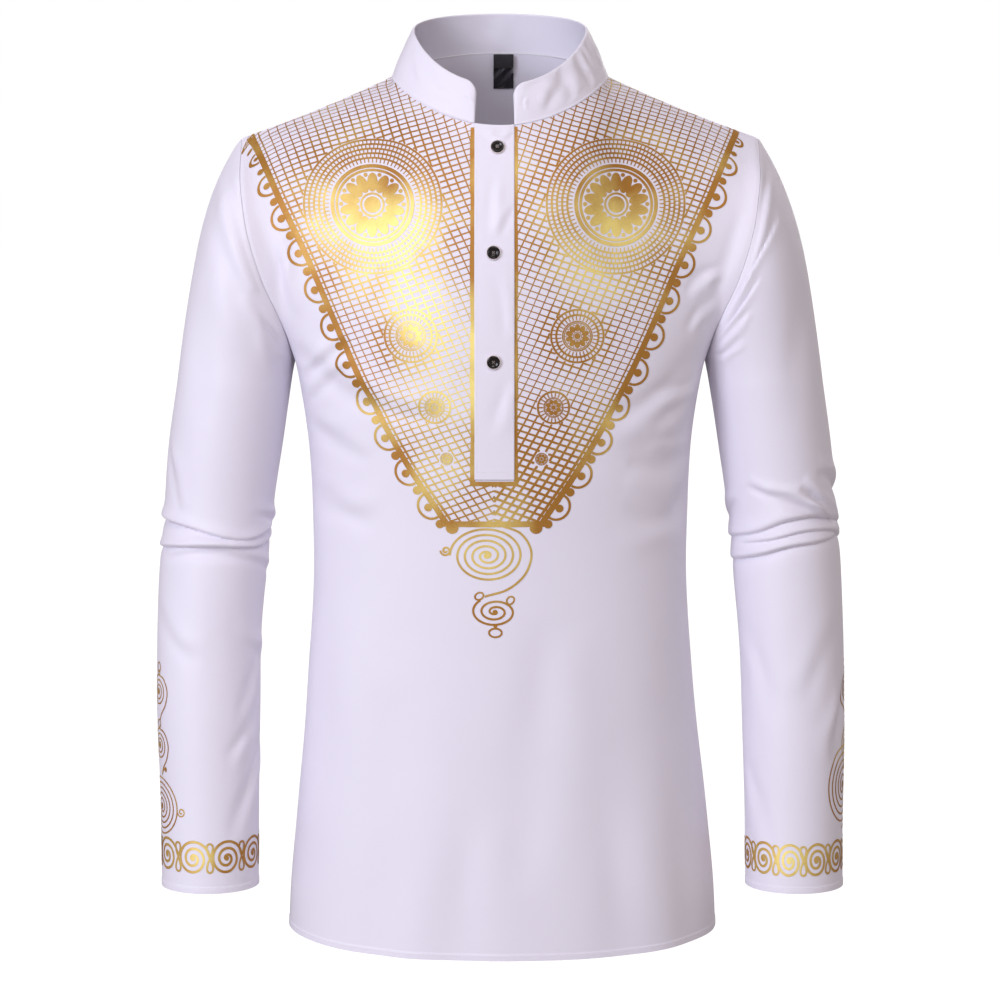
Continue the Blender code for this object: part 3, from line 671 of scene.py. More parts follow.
def gold_material():
    """Foil pressed on cloth: orange brown, with bright yellow painted in as highlights around
    listed places and as a broad mottle that is partly uneven tone and partly painted reflection.
    """
    material, tree, shader, node = new_material("gold_foil", FOIL_MIDDLE, 0.52, 0.40)
    place = node("ShaderNodeTexCoord")
    broad = node("ShaderNodeTexNoise", {"Vector": place.outputs["Object"], "Scale": 17.0,
                                        "Detail": 3.0, "Roughness": 0.5})
    fine = node("ShaderNodeTexNoise", {"Vector": place.outputs["Object"], "Scale": 900.0,
                                       "Detail": 1.0})
    # Broad mottle between dull and bright foil: partly the foil's uneven tone, partly painted
    # reflection
    total = node("ShaderNodeMapRange", {"Value": broad.outputs["Fac"], "From Min": 0.42,
                                        "From Max": 0.72, "To Min": -0.10, "To Max": 0.55},
                 clamp=False).outputs["Result"]
    # Painted highlight: colour turned towards bright yellow near each listed place
    for centre, reach in PAINTED_HIGHLIGHTS:
        away = node("ShaderNodeVectorMath", {0: place.outputs["Object"]}, operation="DISTANCE")
        away.inputs[1].default_value = centre
        near = node("ShaderNodeMapRange", {"Value": away.outputs["Value"], "From Min": 0.0,
                                           "From Max": reach, "To Min": 0.95, "To Max": 0.0},
                    interpolation_type="SMOOTHSTEP")
        total = node("ShaderNodeMath", {0: total, 1: near.outputs["Result"]},
                     operation="ADD").outputs[0]
    grain = node("ShaderNodeMath", {0: fine.outputs["Fac"], 1: 0.3, 2: -0.15},
                 operation="MULTIPLY_ADD")
    factor = node("ShaderNodeMath", {0: total, 1: grain.outputs[0]}, operation="ADD",
                  use_clamp=True)
    tree.links.new(mixed_colour(node, factor.outputs[0], FOIL_DULL, FOIL_BRIGHT),
                   shader.inputs["Base Color"])
    relief(tree, shader, node, fine.outputs["Fac"], 0.25, 0.0003)
    return material


def speckled_material(name, low, high, scale, roughness, metallic=0.0, shine=0.5):
    """A turned or woven surface of two close tones, with a fine relief."""
    material, tree, shader, node = new_material(name, high, roughness, metallic)
    shader.inputs["Specular IOR Level"].default_value = shine
    place = node("ShaderNodeTexCoord")
    fleck = node("ShaderNodeTexNoise", {"Vector": place.outputs["Object"], "Scale": scale,
                                        "Detail": 4.0, "Roughness": 0.6})
    tree.links.new(mixed_colour(node, fleck.outputs["Fac"], low, high),
                   shader.inputs["Base Color"])
    relief(tree, shader, node, fleck.outputs["Fac"], 0.15, 0.0002)
    return material


white_cloth = cloth_material("white_shirting", (0.78, 0.76, 0.86), (0.83, 0.81, 0.90), 2200.0,
                             0.10)
thread_white = speckled_material("white_thread", (0.82, 0.81, 0.86), (0.92, 0.91, 0.95), 2500.0,
                                 0.6)
gold_foil = gold_material()
dark_horn = speckled_material("dark_horn", (0.003, 0.002, 0.002), (0.014, 0.010, 0.009), 900.0,
                              0.13, shine=0.35)
steel_rim = speckled_material("steel_rim", (0.78, 0.70, 0.68), (0.95, 0.88, 0.86), 1200.0, 0.28,
                              0.2)
black_satin = speckled_material("black_satin", (0.004, 0.004, 0.005), (0.030, 0.030, 0.033),
                                600.0, 0.20, shine=1.0)
black_ribbon = speckled_material("black_ribbon", (0.006, 0.006, 0.008), (0.050, 0.048, 0.052),
                                 1600.0, 0.45)
button_thread = speckled_material("button_thread", (0.10, 0.08, 0.07), (0.30, 0.25, 0.22),
                                  1800.0, 0.5)


# Body panels

NECK_STEPS = 64
SHOULDER_STEPS = 42
LOWER_STEPS = 137
UPPER_STEPS = 81
HEM_DEPTH = 0.0055
HEM_STEP = 0.00045
# The hanging ends sway a little towards the left
HEM_SWAY = 0.0020
CUFF_SWAY = {1: 0.0, -1: 0.0048}
SWAY_REACH = (0.43, 0.74)
SEAM_DIP = 0.0007
SEAM_REACH = 0.0022
SIDE_CALM = 0.012
END_CALM = 0.010
PATTERN_LEVEL = -0.40
EDGE_COLUMNS = np.array([0.980, 0.985, 0.989, 0.993, 0.9965, 1.0])
HEM_ROWS = np.array([0.0, 0.03, 0.07, 0.12, 0.17, 0.205, 0.235, 0.255, 0.275, 0.31, 0.36, 0.43])
TOP_ROWS = np.array([33.70, 33.80, 33.88, 33.95, 34.0])


def panel_columns():
    """Columns with one exactly at each neck corner, and close together at the side edges."""
    neck = np.linspace(-NECK_U, NECK_U, NECK_STEPS + 1)
    shoulder = np.concatenate([np.linspace(NECK_U, 0.972, SHOULDER_STEPS + 1)[1:], EDGE_COLUMNS])
    return np.concatenate([-shoulder[::-1], neck, shoulder])


def panel_rows():
    """Rows in controls, close together at the hem and under the top edge."""
    return np.concatenate([HEM_ROWS, np.linspace(0.55, LOWER_CONTROLS, LOWER_STEPS + 1),
                           np.linspace(LOWER_CONTROLS, 33.5, UPPER_STEPS + 1)[1:], TOP_ROWS])


U = panel_columns()
MIDDLE = len(U) // 2
ON_NECK = np.abs(U) <= NECK_U + 1e-9
ON_SHOULDER = np.abs(U) >= NECK_U - 1e-9
ROWS = panel_rows()
FIRST_UPPER = int(np.flatnonzero(ROWS == LOWER_CONTROLS)[0])
Cloth = namedtuple("Cloth", "outer inner normals across up")


def hem_step(from_end):
    """The turned-up hem, which stands out from the cloth above it."""
    return HEM_STEP * (1 - smooth_step(from_end, HEM_DEPTH - 0.0005, HEM_DEPTH + 0.0004))


def body_panel(back, creases):
    """A panel's outer and inner points with its creases, turned hem and sunken seams."""
    controls = panel_controls(back)
    columns = smooth_table(U, np.linspace(-1.0, 1.0, CONTROL_COLUMNS + 1),
                           controls.transpose(1, 0, 2))
    plain = smooth_table(ROWS, np.arange(len(controls)), columns.transpose(1, 0, 2))
    facing = -1.0 if back else 1.0
    normals = grid_normals(plain, closed=False) * facing
    towards = smooth_step(-facing * normals[..., 1], 0.05, 0.5)
    height = towards * crease_height(plain[..., 0], plain[..., 2], creases, MM)
    height += faint_waves(plain[..., 0], plain[..., 2], 3 if back else 4)

    along = np.concatenate([np.zeros((len(plain), 1)), np.cumsum(
        np.linalg.norm(np.diff(plain, axis=1), axis=2), axis=1)], axis=1)
    from_side = np.minimum(along, along[:, -1:] - along)
    climb = np.hypot(np.gradient(plain[..., 1], axis=0), np.gradient(plain[..., 2], axis=0))
    up = np.cumsum(climb, axis=0)
    from_top = up[-1] - up
    from_hem = up - up[0]
    shoulder = smooth_step(np.abs(U), NECK_U - 0.02, NECK_U + 0.02)
    height *= smooth_step(from_side, 0.0, SIDE_CALM) * smooth_step(from_top, 0.0, END_CALM)
    height -= SEAM_DIP * np.exp(-(from_side / SEAM_REACH) ** 2)
    height -= SEAM_DIP * np.exp(-(from_top / SEAM_REACH) ** 2) * shoulder
    height += hem_step(from_hem)
    outer = plain + height[..., None] * normals
    half_gap = SEAM_GAP / 2 * -facing
    outer[:FIRST_UPPER + 1, [0, -1], 1] += half_gap
    outer[-1, ON_SHOULDER, 1] += half_gap
    outer[..., 0] += HEM_SWAY * smooth_step(-outer[..., 2], *SWAY_REACH)
    inner = outer - WALL * normals
    inner[:FIRST_UPPER + 1, [0, -1], 1] = outer[:FIRST_UPPER + 1, [0, -1], 1]
    inner[-1, ON_SHOULDER, 1] = outer[-1, ON_SHOULDER, 1]
    base = np.array([np.interp(PATTERN_LEVEL, plain[:, j, 2], up[:, j])
                     for j in range(len(U))])
    return Cloth(outer, inner, grid_normals(outer, closed=False) * facing,
                 plain[..., 0], up - base + PATTERN_LEVEL)


front = body_panel(False, FRONT_CREASES)
back = body_panel(True, BACK_CREASES)


def panel_uv(cloth):
    return stacked(cloth.across, cloth.up)


cloth_front = wall_object("cloth_front", front.outer, front.inner, False, white_cloth,
                          panel_uv(front))
cloth_back = wall_object("cloth_back", back.outer, back.inner, False, white_cloth,
                         panel_uv(back))


# Sleeves

# Ways in which a sleeve's head leaves the armhole and reaches the first level ring
LEAVE_OUTER = np.array([0.50, 0.0, -0.64])
LEAVE_INNER = np.array([0.15, 0.0, -1.0])
LEAVE_FACES = np.array([0.05, 0.0, -0.10])
LEAVE_FRONT = np.array([0.0, -0.22, 0.0])
ARRIVE_OUTER = np.array([0.14, 0.0, -1.1])
ARRIVE_INNER = np.array([0.16, 0.0, -1.0])
SEAM_LIFT = SEAM_DIP * 0.6
SEAM_LIFT_REACH = 0.010
HEAD_FIRST_ROWS = [0.0, 0.006, 0.014, 0.025]
HEAD_ROWS = 60
SLEEVE_LEVELS = np.concatenate([
    np.linspace(-0.2615, -0.335, 22)[1:], np.linspace(-0.335, -0.445, 106)[1:],
    np.linspace(-0.445, -0.690, 60)[1:], [-0.6925, -0.6942, -0.6952, -0.6960, -0.6975,
                                         -0.6992, -0.7003, CUFF_Z]])


def sleeve_ring(angle, z):
    """The sleeve's level ring: angle 0 at its outer side, 90 degrees at the front."""
    zs = -np.array([s.z for s in SLEEVE_SECTIONS])
    centre_x, centre_y, half_width, half_depth = (
        smooth_table(-z, zs, [getattr(s, name) for s in SLEEVE_SECTIONS])
        for name in ("centre_x", "centre_y", "half_width", "half_depth"))
    x = centre_x + half_width * np.cos(angle)
    y = centre_y - half_depth * np.sin(angle)
    return stacked(x, y, z + 0.0 * angle)


def sleeve_cap_row(start, angle, t):
    """A ring between the armhole and the first level ring, t from 0 to 1."""
    end = sleeve_ring(angle, SLEEVE_SECTIONS[0].z)
    chord = np.linalg.norm(end - start, axis=1)[:, None]
    outer = ((1 + np.cos(angle)) / 2)[:, None]
    side = np.sin(angle)[:, None]
    leave = (outer * LEAVE_OUTER + (1 - outer) * LEAVE_INNER
             + np.abs(side) * LEAVE_FACES + side * LEAVE_FRONT)
    arrive = outer * ARRIVE_OUTER + (1 - outer) * ARRIVE_INNER
    return ((1 + 2 * t) * (1 - t) ** 2 * start + t * (1 - t) ** 2 * chord * leave
            + t * t * (3 - 2 * t) * end - t * t * (1 - t) * chord * arrive)


UPPER_PARTS = (ROWS[FIRST_UPPER:] - LOWER_CONTROLS) / UPPER_CONTROLS
SLEEVE_ANGLES = np.concatenate([math.pi * (1 - UPPER_PARTS[::-1]),
                                math.pi * (1 + UPPER_PARTS[1:-1])])


def sleeve_cloth(side, creases, head_creases):
    """A sleeve's points, whose first ring follows the body's armhole edge."""
    column = -1 if side > 0 else 0
    mirror = np.array([side, 1.0, 1.0])

    def edge(front_grid, back_grid):
        upper = front_grid[FIRST_UPPER:, column] * mirror
        lower = back_grid[FIRST_UPPER:, column] * mirror
        return np.concatenate([upper[::-1], lower[1:-1]])

    angle = SLEEVE_ANGLES
    start = edge(front.outer, back.outer) + np.array([SEAM_GAP, 0.0, 0.0])
    rows = [sleeve_cap_row(start, angle, t) for t in
            np.concatenate([HEAD_FIRST_ROWS, np.linspace(0.04, 1.0, HEAD_ROWS)])]
    rows += [sleeve_ring(angle, z) for z in SLEEVE_LEVELS]
    plain = np.array(rows)
    normals = grid_normals(plain, closed=True)
    around = np.broadcast_to(angle * SLEEVE_RADIUS, plain.shape[:2])
    turn = TURN * SLEEVE_RADIUS
    scale = np.array([math.radians(1) * SLEEVE_RADIUS, MM])
    height = sum(crease_height(around + k * turn, plain[..., 2], creases, scale)
                 for k in (-1, 0, 1))
    for name, facing in (("front", 1.0), ("back", -1.0)):
        towards = smooth_step(-facing * normals[..., 1], 0.0, 0.5)
        height = height + towards * crease_height(plain[..., 0], plain[..., 2],
                                                  head_creases[name], MM)
    height += faint_waves(np.cos(angle) * 0.05 + 0.0 * around, plain[..., 2], 5 + side)
    down = np.cumsum(np.linalg.norm(np.diff(plain, axis=0, prepend=plain[:1]), axis=2), axis=0)
    height *= smooth_step(down, 0.0, SIDE_CALM)
    height += (SEAM_LIFT * (1 - np.exp(-(down / SEAM_REACH) ** 2))
               * np.exp(-down / SEAM_LIFT_REACH))
    from_cuff = down[-1] - down
    height += hem_step(from_cuff)
    outer = plain + height[..., None] * normals
    outer[..., 0] -= CUFF_SWAY[side] * smooth_step(-outer[..., 2], *SWAY_REACH)
    inner = outer - WALL * normals
    body_inner = edge(front.inner, back.inner)[:, 0]
    inner[0, :, 0] = np.maximum(inner[0, :, 0], body_inner + SEAM_GAP)
    return Cloth(outer * mirror, inner * mirror, grid_normals(outer, closed=True) * mirror,
                 around, plain[..., 2])


sleeves = {"left": sleeve_cloth(1, LEFT_SLEEVE_CREASES, LEFT_HEAD_CREASES),
           "right": sleeve_cloth(-1, RIGHT_SLEEVE_CREASES, RIGHT_HEAD_CREASES)}
sleeve_pieces = {name: wall_object(f"cloth_sleeve_{name}", cloth.outer, cloth.inner, True,
                                   white_cloth, panel_uv(cloth))
                 for name, cloth in sleeves.items()}


# Collar

COLLAR_COLUMNS = 300
COLLAR_ROWS = np.concatenate([[0.0, 0.012, 0.025, 0.04], np.linspace(0.06, 0.94, 30),
                              [0.96, 0.98, 0.992, 1.0]])
FOOT_PASSES = 6
FOOT_ROLL = 0.0008
FOOT_ROLL_HEIGHT = 0.0012
# Creases of the band, in millimetres from its right or left front end and up from its foot
RIGHT_END_CREASES = (
    Crease(((11, 22), (8, 16), (10, 11)), 1.7, 1.5, 1.3, True),
    Crease(((10, 26), (20, 31), (36, 27)), 4, 0.7, 0.9),
    Crease(((26, 3), (34, 12), (48, 22)), 6, 1.2, 1.1),
    Crease(((46, 34), (54, 20), (58, 5)), 7, 2.2, 1.5),
    Crease(((72, 37), (78, 22), (88, 6)), 5, 2.0, 1.7),
    Crease(((84, 38), (90, 26), (98, 12)), 3.5, 1.2, 1.3),
    Crease(((98, 38), (103, 24), (112, 8)), 5, 1.4, 1.2),
    Crease(((122, 36), (128, 20), (134, 6)), 7, 1.0, 0.8),
)
LEFT_END_CREASES = (
    Crease(((3, 15), (7, 20), (12, 19)), 1.7, 0.8, 0.8, True),
    Crease(((14, 12), (30, 17), (48, 15)), 5, 0.8, 0.6),
    Crease(((60, 8), (72, 15), (90, 17)), 6, 0.7, 0.5),
    Crease(((150, 4), (158, 16), (166, 34)), 7, 0.8, 0.6),
    Crease(((250, 2), (256, 16), (254, 32)), 9, 0.7, 0.5),
)


def neck_seam():
    """The neck seam from the left end of the collar, round the back, to its right end."""
    front_edge = front.outer[-1, ON_NECK]
    back_edge = back.outer[-1, ON_NECK]

    def front_at(x):
        return np.array([x, *(np.interp(x, front_edge[:, 0], front_edge[:, k])
                              for k in (1, 2))])

    left = front_edge[front_edge[:, 0] < PLACKET_LEFT_X - 0.001][1:][::-1]
    right = front_edge[front_edge[:, 0] > PLACKET_RIGHT_X + 0.001][:-1][::-1]
    return np.concatenate([[front_at(PLACKET_LEFT_X)], left, back_edge,
                           right, [front_at(PLACKET_RIGHT_X)]])


def collar_cloth():
    """A band standing on the neck seam, open between its rounded front ends."""
    seam = neck_seam()
    length = run_length(seam)
    total = length[-1]
    ends = COLLAR_CORNER_RADIUS * np.linspace(0.0, 1.0, 12) ** 2
    at = np.concatenate([ends, np.linspace(ends[-1], total - ends[-1], COLLAR_COLUMNS)[1:-1],
                         total - ends[::-1]])
    foot = at_lengths(seam, length, at)
    for _ in range(FOOT_PASSES):
        foot[1:-1] += 0.25 * (foot[:-2] + foot[2:] - 2 * foot[1:-1])
    foot[:, 2] += SEAM_GAP
    depth = np.where(foot[:, 1] < 0, NECK_FRONT_DEPTH, NECK_BACK_DEPTH)
    inward = unit(-stacked(foot[:, 0] / NECK_HALF_WIDTH ** 2, foot[:, 1] / depth ** 2))
    side = np.clip(foot[:, 0] / NECK_HALF_WIDTH, -1.0, 1.0) ** 2
    tall = COLLAR_HEIGHT + COLLAR_SIDE_EXTRA * side
    from_end = np.minimum(at, total - at)
    short = COLLAR_CORNER_RADIUS - np.minimum(from_end, COLLAR_CORNER_RADIUS)
    tall -= COLLAR_CORNER_RADIUS - np.sqrt(COLLAR_CORNER_RADIUS ** 2 - short ** 2)
    lean = COLLAR_LEAN + COLLAR_SIDE_LEAN * side
    part = COLLAR_ROWS[:, None]
    up = part * tall
    lean = COLLAR_WALL / 2 + lean * part ** COLLAR_LEAN_POWER
    middle = foot + stacked(inward[:, 0] * lean, inward[:, 1] * lean, up)
    across = np.broadcast_to(at, up.shape)
    half = COLLAR_WALL / 2
    edge = np.minimum(np.minimum(tall - up, from_end), half)
    thick = np.sqrt(np.maximum(half ** 2 - (half - edge) ** 2, (0.25 * half) ** 2))
    dent = (crease_height(total - across, up, RIGHT_END_CREASES, MM)
            + crease_height(across, up, LEFT_END_CREASES, MM))
    dent *= smooth_step(up, 0.0, 0.005) * smooth_step(tall - up, -0.004, 0.006)
    roll = FOOT_ROLL * np.exp(-(up / FOOT_ROLL_HEIGHT) ** 2)
    away = -np.concatenate([inward, np.zeros((len(at), 1))], axis=1)
    outer = middle + away * (thick + dent + roll)[..., None]
    inner = middle + away * (dent - thick)[..., None]
    return outer, inner, stacked(across, up), away


collar_outer, collar_inner, collar_uv, collar_away = collar_cloth()
cloth_collar = wall_object("cloth_collar", collar_outer, collar_inner, False, white_cloth,
                           collar_uv)


# Places on the front panel, from coordinates across and up along the cloth

STATION_STEP = 0.002
PRINT_FREE_EDGE = 0.0008


class FrontPlaces:
    """Finds points of the front panel, whose columns are cut at equal steps across."""

    def __init__(self, cloth):
        half = SHOULDER_X - 0.0005
        count = int(round(2 * half / STATION_STEP))
        self.stations = np.linspace(-half, half, count + 1)
        self.tables = []
        self.armhole = []
        for x in self.stations:
            rows = []
            low = np.inf
            for number, (across, up, outer, normal) in enumerate(zip(
                    cloth.across, cloth.up, cloth.outer, cloth.normals)):
                if across[0] <= x <= across[-1]:
                    rows.append([np.interp(x, across, column) for column in
                                 (up, *outer.T, *normal.T)])
                    if number > FIRST_UPPER:
                        low = min(low, rows[-1][0])
            self.tables.append(np.array(rows))
            self.armhole.append(low if abs(x) > SIDE_X else -1.0)

    def column(self, k, up):
        table = self.tables[k]
        return np.stack([np.interp(up, table[:, 0], table[:, c]) for c in range(1, 7)], axis=-1)

    def top(self, across):
        """Coordinate up of the panel's top edge."""
        return np.interp(across, self.stations, [table[-1, 0] for table in self.tables])

    def margin(self, points):
        """How far inside the panel's top edge and armholes each point is."""
        under = self.top(points[:, 0]) - points[:, 1]
        over = points[:, 1] - np.interp(points[:, 0], self.stations, self.armhole)
        return np.minimum(np.minimum(under, over) - PRINT_FREE_EDGE,
                          SHOULDER_X - np.abs(points[:, 0]))

    def find(self, points):
        """Positions and normals of the cloth at the points (across, up)."""
        points = np.asarray(points, float)
        place = (points[:, 0] - self.stations[0]) / (self.stations[1] - self.stations[0])
        k = np.clip(place.astype(int), 0, len(self.stations) - 2)
        part = np.clip(place - k, 0.0, 1.0)[:, None]
        found = np.zeros((len(points), 6))
        for number in np.unique(k):
            here = k == number
            up = points[here, 1]
            found[here] = (self.column(number, up) * (1 - part[here])
                           + self.column(number + 1, up) * part[here])
        return found[:, :3], found[:, 3:]


class SleevePlaces:
    """Finds points of a sleeve from the distance round from its outer side and the height."""

    def __init__(self, cloth):
        first = len(cloth.outer) - len(SLEEVE_LEVELS)
        self.levels = SLEEVE_LEVELS[::-1]
        self.angles = np.append(SLEEVE_ANGLES, TURN)
        self.outer = np.concatenate([cloth.outer, cloth.outer[:, :1]], axis=1)[first:][::-1]
        self.normals = np.concatenate([cloth.normals, cloth.normals[:, :1]], axis=1)[first:][::-1]

    def find(self, points):
        points = np.asarray(points, float)
        row = np.interp(points[:, 1], self.levels, np.arange(len(self.levels)))
        angle = np.mod(points[:, 0] / SLEEVE_PRINT_RADIUS, TURN)
        column = np.interp(angle, self.angles, np.arange(len(self.angles)))
        i = np.clip(row.astype(int), 0, len(self.levels) - 2)
        j = np.clip(column.astype(int), 0, len(self.angles) - 2)
        a = (row - i)[:, None]
        b = (column - j)[:, None]
        return [(1 - a) * ((1 - b) * grid[i, j] + b * grid[i, j + 1])
                + a * ((1 - b) * grid[i + 1, j] + b * grid[i + 1, j + 1])
                for grid in (self.outer, self.normals)]


SLEEVE_PRINT_RADIUS = 0.0448
on_front = FrontPlaces(front)
on_sleeve = {name: SleevePlaces(cloth) for name, cloth in sleeves.items()}


# Placket

PLACKET_EDGE = 0.0008
PLACKET_LEAST = 0.0003
PLACKET_EDGE_SHARE = 0.35
PLACKET_COLUMNS = 13
PLACKET_ROWS = 109
PLACKET_RIM = np.array([0.0, 0.0002, 0.0006, 0.0012])
PLACKET_INSET = 0.0020
STITCH_PULL = 0.00018
STITCH_PULL_REACH = 0.0007
BUTTON_DIP = 0.0004
BUTTON_DIP_REACH = 0.0085
PLACKET_CREASES = (
    Crease(((-15, -43), (-8, -47), (-2, -51)), 2.2, 0.8, 1.4),
    Crease(((-3, -54), (4, -49), (12, -42)), 2.0, 0.8, 1.6),
    Crease(((-5, -78), (-8, -105), (-10, -129)), 4, 0.8, 1.3),
    Crease(((0, -132), (6, -118), (13, -104)), 3, 0.8, 1.3),
    Crease(((-4, -164), (2, -190), (4, -218)), 4, 0.8, 1.1),
    Crease(((7, -248), (0, -272), (-9, -298)), 5, 0.8, 1.1),
)


def placket_cloth():
    low = on_front_height(PLACKET_BOTTOM_Z)
    rim = PLACKET_RIM
    xs = np.concatenate([PLACKET_LEFT_X + rim,
                         np.linspace(PLACKET_LEFT_X, PLACKET_RIGHT_X,
                                     PLACKET_COLUMNS + 1)[1:-1],
                         PLACKET_RIGHT_X - rim[::-1]])
    top = on_front.top(xs)
    part = np.concatenate([rim / 0.3, np.linspace(0.004, 1.0, PLACKET_ROWS + 1)[1:]])
    ups = low + part[:, None] * (top - low)
    across = np.broadcast_to(xs, ups.shape)
    points, normals = on_front.find(stacked(across.ravel(), ups.ravel()))
    points = points.reshape(*ups.shape, 3)
    normals = normals.reshape(*ups.shape, 3)
    from_edge = np.minimum(np.minimum(xs - PLACKET_LEFT_X, PLACKET_RIGHT_X - xs)[None, :],
                           ups - ups[0])
    round_off = np.clip(from_edge / PLACKET_EDGE, 0.0, 1.0)
    thick = WALL * (PLACKET_EDGE_SHARE
                    + (1 - PLACKET_EDGE_SHARE) * np.sqrt(1 - (1 - round_off) ** 2))
    stitch = np.exp(-((from_edge - PLACKET_INSET) / STITCH_PULL_REACH) ** 2)
    thick = thick - STITCH_PULL * stitch
    thick = thick + crease_height(across, ups, PLACKET_CREASES, MM)
    for x, up in BUTTON_PLACES:
        apart = (across - x) ** 2 + (ups - up) ** 2
        thick = thick - BUTTON_DIP * np.exp(-apart / BUTTON_DIP_REACH ** 2)
    thick = np.maximum(thick, PLACKET_LEAST)
    outer = points + (SEAM_GAP + thick)[..., None] * normals
    inner = points + SEAM_GAP * normals
    return outer, inner, stacked(across, ups), normals


def on_front_height(z):
    """Coordinate up along the middle of the front at height z."""
    return float(np.interp(z, front.outer[:, MIDDLE, 2], front.up[:, MIDDLE]))


BUTTON_PLACES = tuple((x, on_front_height(z)) for x, z in
                      ((-0.0021, -0.0586), (-0.0054, -0.1454), (-0.0054, -0.2360)))
placket_outer, placket_inner, placket_uv, placket_normals = placket_cloth()
cloth_placket = wall_object("cloth_placket", placket_outer, placket_inner, False, white_cloth,
                            placket_uv)


# Print

PRINT_LIFT = 0.00016
LIFT_STEP = 0.00004
LINE_STEP = 0.0016


class Print:
    """Flat strips and discs in a cloth's coordinates, laid on it as one thin piece."""

    def __init__(self):
        self.points = []
        self.lifts = []
        self.faces = []

    def add(self, points, faces, layer):
        base = len(self.points)
        self.points.extend(points)
        self.lifts.extend([PRINT_LIFT + layer * LIFT_STEP] * len(points))
        self.faces.extend([tuple(base + k for k in face) for face in faces])

    def strip(self, path, width, layer, closed=False):
        """A line of the given width, one number or one at each point."""
        path = np.asarray(path, float)
        if closed:
            way = np.roll(path, -1, axis=0) - np.roll(path, 1, axis=0)
        else:
            way = np.gradient(path, axis=0)
        half = np.broadcast_to(np.asarray(width) / 2, len(path))[:, None]
        aside = left_of(unit(way)) * half
        count = len(path)
        points = np.concatenate([path + aside, path - aside])
        faces = [(k, (k + 1) % count, count + (k + 1) % count, count + k)
                 for k in range(count if closed else count - 1)]
        self.add(points, faces, layer)

    def disc(self, centre, radius_x, radius_y, layer, turn=0.0, steps=22):
        """A filled oval, in rings so that it follows the cloth."""
        rings = max(1, int(max(radius_x, radius_y) / 0.002))
        angle = np.linspace(0.0, TURN, steps, endpoint=False)
        shape = stacked(radius_x * np.cos(angle), radius_y * np.sin(angle))
        spin = np.array([[math.cos(turn), math.sin(turn)], [-math.sin(turn), math.cos(turn)]])
        shape = shape @ spin
        points = [centre]
        for ring in range(1, rings + 1):
            points.extend(np.asarray(centre) + shape * ring / rings)
        faces = [(0, 1 + k, 1 + (k + 1) % steps) for k in range(steps)]
        for ring in range(rings - 1):
            low = 1 + ring * steps
            faces += [(low + k, low + steps + k, low + steps + (k + 1) % steps,
                       low + (k + 1) % steps) for k in range(steps)]
        self.add(points, faces, layer)

    def lay(self, name, places):
        points = np.array(self.points)
        found, normals = places.find(points)
        laid = found + normals * np.array(self.lifts)[:, None]
        return mesh_object(name, laid, self.faces, gold_foil, points)


def oval(centre, radius_x, radius_y, steps=40, start=0.0, end=TURN, turn=0.0):
    angle = np.linspace(start, end, steps)
    x = radius_x * np.cos(angle)
    y = radius_y * np.sin(angle)
    return stacked(centre[0] + x * math.cos(turn) - y * math.sin(turn),
                   centre[1] + x * math.sin(turn) + y * math.cos(turn))


def spiral(centre, inner, outer, turns, start, hand=1.0, squash=1.0):
    """A coil of even pitch from an inner to an outer radius, start in radians."""
    steps = int(14 * turns + TURN * outer * turns / LINE_STEP / 2)
    part = np.linspace(0.0, 1.0, steps)
    radius = inner + (outer - inner) * part
    angle = start + hand * TURN * turns * part
    return stacked(centre[0] + radius * np.cos(angle),
                   centre[1] + squash * radius * np.sin(angle))


# Printed yoke: a field between two slanting edges, with a net, rosettes and a loop edging

YOKE_MIDDLE = -0.0050
YokeEdge = namedtuple("YokeEdge", "up half_width")
YOKE_EDGE = (
    YokeEdge(-0.3750, 0.0430),
    YokeEdge(-0.3290, 0.0738),
    YokeEdge(-0.2700, 0.1068),
    YokeEdge(-0.2150, 0.1335),
    YokeEdge(-0.1570, 0.1590),
    YokeEdge(-0.0900, 0.1895),
    YokeEdge(-0.0160, 0.2130),
    YokeEdge(0.0200, 0.2210),
)
YOKE_FOOT = YOKE_EDGE[0]
YOKE_BAND = 0.0050
NET_PITCH = 0.0080
NET_COURSE = 0.0049
NET_RISE = 0.28
NET_TOP = 0.06
NET_LINE = 0.0008
NET_BOLD = 0.0016
NET_LOW = (0.24, 0.33)
NET_LOW_BOLD = {-1: 0.7, 1: 1.6}
Rosette = namedtuple("Rosette", "x up radius petals rings")
ROSETTES = (
    Rosette(0.1030, -0.1040, 0.0360, 14, 5),
    Rosette(0.0700, -0.2150, 0.0130, 10, 2),
    Rosette(0.0500, -0.2750, 0.0085, 8, 1),
    Rosette(0.0400, -0.3190, 0.0055, 8, 0),
)
FIRST_RING = 1.04
RING_STEP = 0.0043
RING_LINE = 0.0017
RAY_PITCH = 0.0036
RAY_LINE = 0.0010


def yoke_edge_x(up):
    """Distance of the slanting edge from the field's middle at a coordinate up."""
    return smooth_table(up, [e.up for e in YOKE_EDGE], [e.half_width for e in YOKE_EDGE])


def mask_radius(rosette):
    """Radius around a rosette that the net leaves free."""
    return rosette.radius * FIRST_RING + RING_STEP * (rosette.rings + 0.3)


def yoke_margin(path):
    """How far inside the field each point is; below zero outside it, or on the placket."""
    x, up = path[:, 0], path[:, 1]
    inside = np.minimum(0.9 * (yoke_edge_x(up) - np.abs(x - YOKE_MIDDLE)), up - YOKE_FOOT.up)
    inside = np.minimum(inside, on_front.margin(path))
    beside = np.maximum(PLACKET_LEFT_X + 0.001 - x, x - PLACKET_RIGHT_X + 0.001)
    beside = np.maximum(beside, PLACKET_LOW - up)
    inside = np.minimum(inside, beside)
    for rosette in ROSETTES:
        gap = np.hypot(np.abs(x - YOKE_MIDDLE) - rosette.x, up - rosette.up)
        inside = np.minimum(inside, gap - mask_radius(rosette))
    return inside


PLACKET_LOW = on_front_height(PLACKET_BOTTOM_Z) - 0.003


